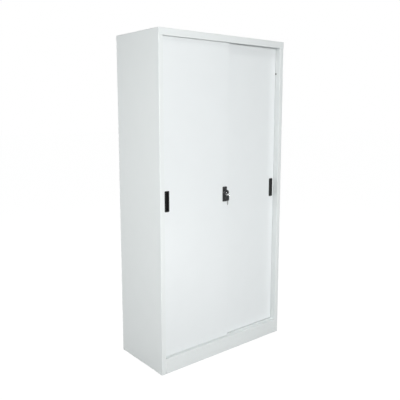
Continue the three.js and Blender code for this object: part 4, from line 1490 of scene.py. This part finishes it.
# %% The uprights and the clips
SLOT_PITCH = 48
SLOT_WIDTH = 18
SLOT_HEIGHT = 6
SLOT_START = 40
CLIP_SHEET = 1.5
CLIP_BEND = 0.5
CLIP_HOOK = 9
CLIP_LEDGE = 14


def upright(low, high):
    margin = BEND + SHEET + 0.5
    half = (high.y - low.y) / 2 - margin
    first = deck_high.z + SLOT_START
    count = int((high.z - 2 * SLOT_HEIGHT - first) / SLOT_PITCH) + 1
    outline = ((-half, -SLOT_PITCH / 2), (half, SLOT_PITCH / 2))
    slot = ((-SLOT_WIDTH / 2, -SLOT_HEIGHT / 2), (SLOT_WIDTH / 2, SLOT_HEIGHT / 2), SLOT_HEIGHT * 0.45, 4)
    mesh = plate(outline, [slot])
    one_slot = mesh.verts[:] + mesh.edges[:] + mesh.faces[:]
    for k in range(1, count):
        move_points(mesh, bmesh.ops.duplicate(mesh, geom=one_slot)["geom"], Y * SLOT_PITCH * k)
    bmesh.ops.remove_doubles(mesh, verts=mesh.verts, dist=TINY)
    stand(mesh, FACING_RIGHT, (high.x, (low.y + high.y) / 2, first))
    start, end = first - SLOT_PITCH / 2, first + (count - 0.5) * SLOT_PITCH
    pull_rim(mesh, lambda p: near(p.z, start), Z * (low.z - start))
    pull_rim(mesh, lambda p: near(p.z, end), Z * (high.z - end))
    for edge, out in ((low.y, -Y * margin), (high.y, Y * margin)):
        pull_rim(mesh, lambda p: near(p.y, edge - out.y), out)
        pull_rim(mesh, lambda p: near(p.y, edge), -X * (high.x - low.x))
    face_along(mesh, faces_at(mesh, 0, high.x)[0], X)
    round_folds(mesh)
    return thicken(mesh)


def shelf_clip(low, high):
    behind, front = low.x + CLIP_SHEET, high.x - CLIP_LEDGE
    tongue = low.z + CLIP_SHEET
    section = [(behind, tongue + CLIP_HOOK), (behind, tongue), (front, tongue), (front, high.z)]
    section.append((high.x, high.z))
    mesh = strip([(x, low.y, z) for x, z in section], Y * (high.y - low.y), X)
    round_folds(mesh, CLIP_BEND, CLIP_SHEET, steps=4)
    return thicken(mesh, CLIP_SHEET, 0.25)


SHELF_NUMBERS = range(1, 5)
for end in ("front", "rear"):
    for side in ("left", "right"):
        turn = mirrored if side == "right" else lambda mesh: mesh
        post = turn(upright(*span(f"left_{end}_upright")))
        finished(post, f"{side}_{end}_slotted_upright", f"{side}_{end}_upright")
        for shelf_number in SHELF_NUMBERS:
            clip = f"{end}_clip_{shelf_number}"
            finished(turn(shelf_clip(*span(f"left_{clip}"))), f"{side}_{clip}_bent", f"{side}_{clip}")
print("slots every", SLOT_PITCH, "mm")

# %% [markdown]
# A shelf is a tray turned upside down: long edges folded down and in again, short edges folded down.

# %% The shelves
SHELF_LIP = 10


def shelf(low, high):
    section = [(low.y + SHELF_LIP, low.z), (low.y, low.z), (low.y, high.z)]
    section += [(high.y, high.z), (high.y, low.z), (high.y - SHELF_LIP, low.z)]
    mesh = strip([(low.x, y, z) for y, z in section], X * (high.x - low.x), -Z)
    inset = BEND + SHEET + 1
    for place in (low.y + inset, high.y - inset):
        slice_faces(mesh, faces_at(mesh, 2, high.z), 1, place)
    on_end = lambda p: near(p.z, high.z) and low.y + inset < p.y < high.y - inset
    pull_rim(mesh, on_end, -Z * (high.z - low.z - SHEET / 2))
    round_folds(mesh)
    return thicken(mesh)


for shelf_number in SHELF_NUMBERS:
    node = f"shelf_{shelf_number}"
    finished(shelf(*span(node)), f"{node}_tray", node)
print(len(SHELF_NUMBERS), "shelves")

# %% [markdown]
# Two small rubber buffers on the posts stop the doors softly. They are pills with a round edge, and their
# front end is drawn in a little, because only a dot of the right one shows beside the rear door.

# %% The buffers
BUFFER_SETBACK = 5
BUFFER_ROUNDING = 0.6


def buffer_pill(low, high):
    low = low + Y * BUFFER_SETBACK
    mesh = plate(((low.y, low.z), (high.y, high.z), (high.z - low.z) * 0.49, 8))
    stand(mesh, FACING_RIGHT, X * high.x)
    give_wall(mesh, high.x - low.x)
    soften(mesh, BUFFER_ROUNDING, steps=3, chosen=lambda p: near(p.x, high.x))
    return mesh


buffer_span = span("left_door_buffer")
finished(buffer_pill(*buffer_span), "left_buffer_pill", "left_door_buffer")
finished(mirrored(buffer_pill(*buffer_span)), "right_buffer_pill", "right_door_buffer")
print("buffers", round(buffer_span[1].z - buffer_span[0].z, 1), "mm high")

# %% [markdown]
# What is left are the fasteners that show: one screw at the foot of the lock plate, and two on the strike.

# %% The other screws
plate_screw = cross_screw((lock_x, plate_low.y, lock_z - PLATE_SCREW_DROP), -Y, 2.6, 0.8)
finished(plate_screw, "lock_plate_screw", "lock_plate", slot="chrome", stands_for=False)
# How far up the strike each screw sits, as a share of its height.
STRIKE_SCREWS = (0.27, 0.73)
STRIKE_SCREW_SHIFT = 1.5
strike_screws = bmesh.new()
for share in STRIKE_SCREWS:
    z = strike_low.z + share * (strike_high.z - strike_low.z)
    x = (strike_low.x + strike_high.x) / 2 + STRIKE_SCREW_SHIFT
    add(strike_screws, cross_screw((x, strike_high.y - STRIKE_SHEET, z), -Y, 2, 0.7))
finished(strike_screws, "lock_strike_screws", "lock_strike", slot="zinc_clip", stands_for=False)
print("screws on the strike:", len(STRIKE_SCREWS))
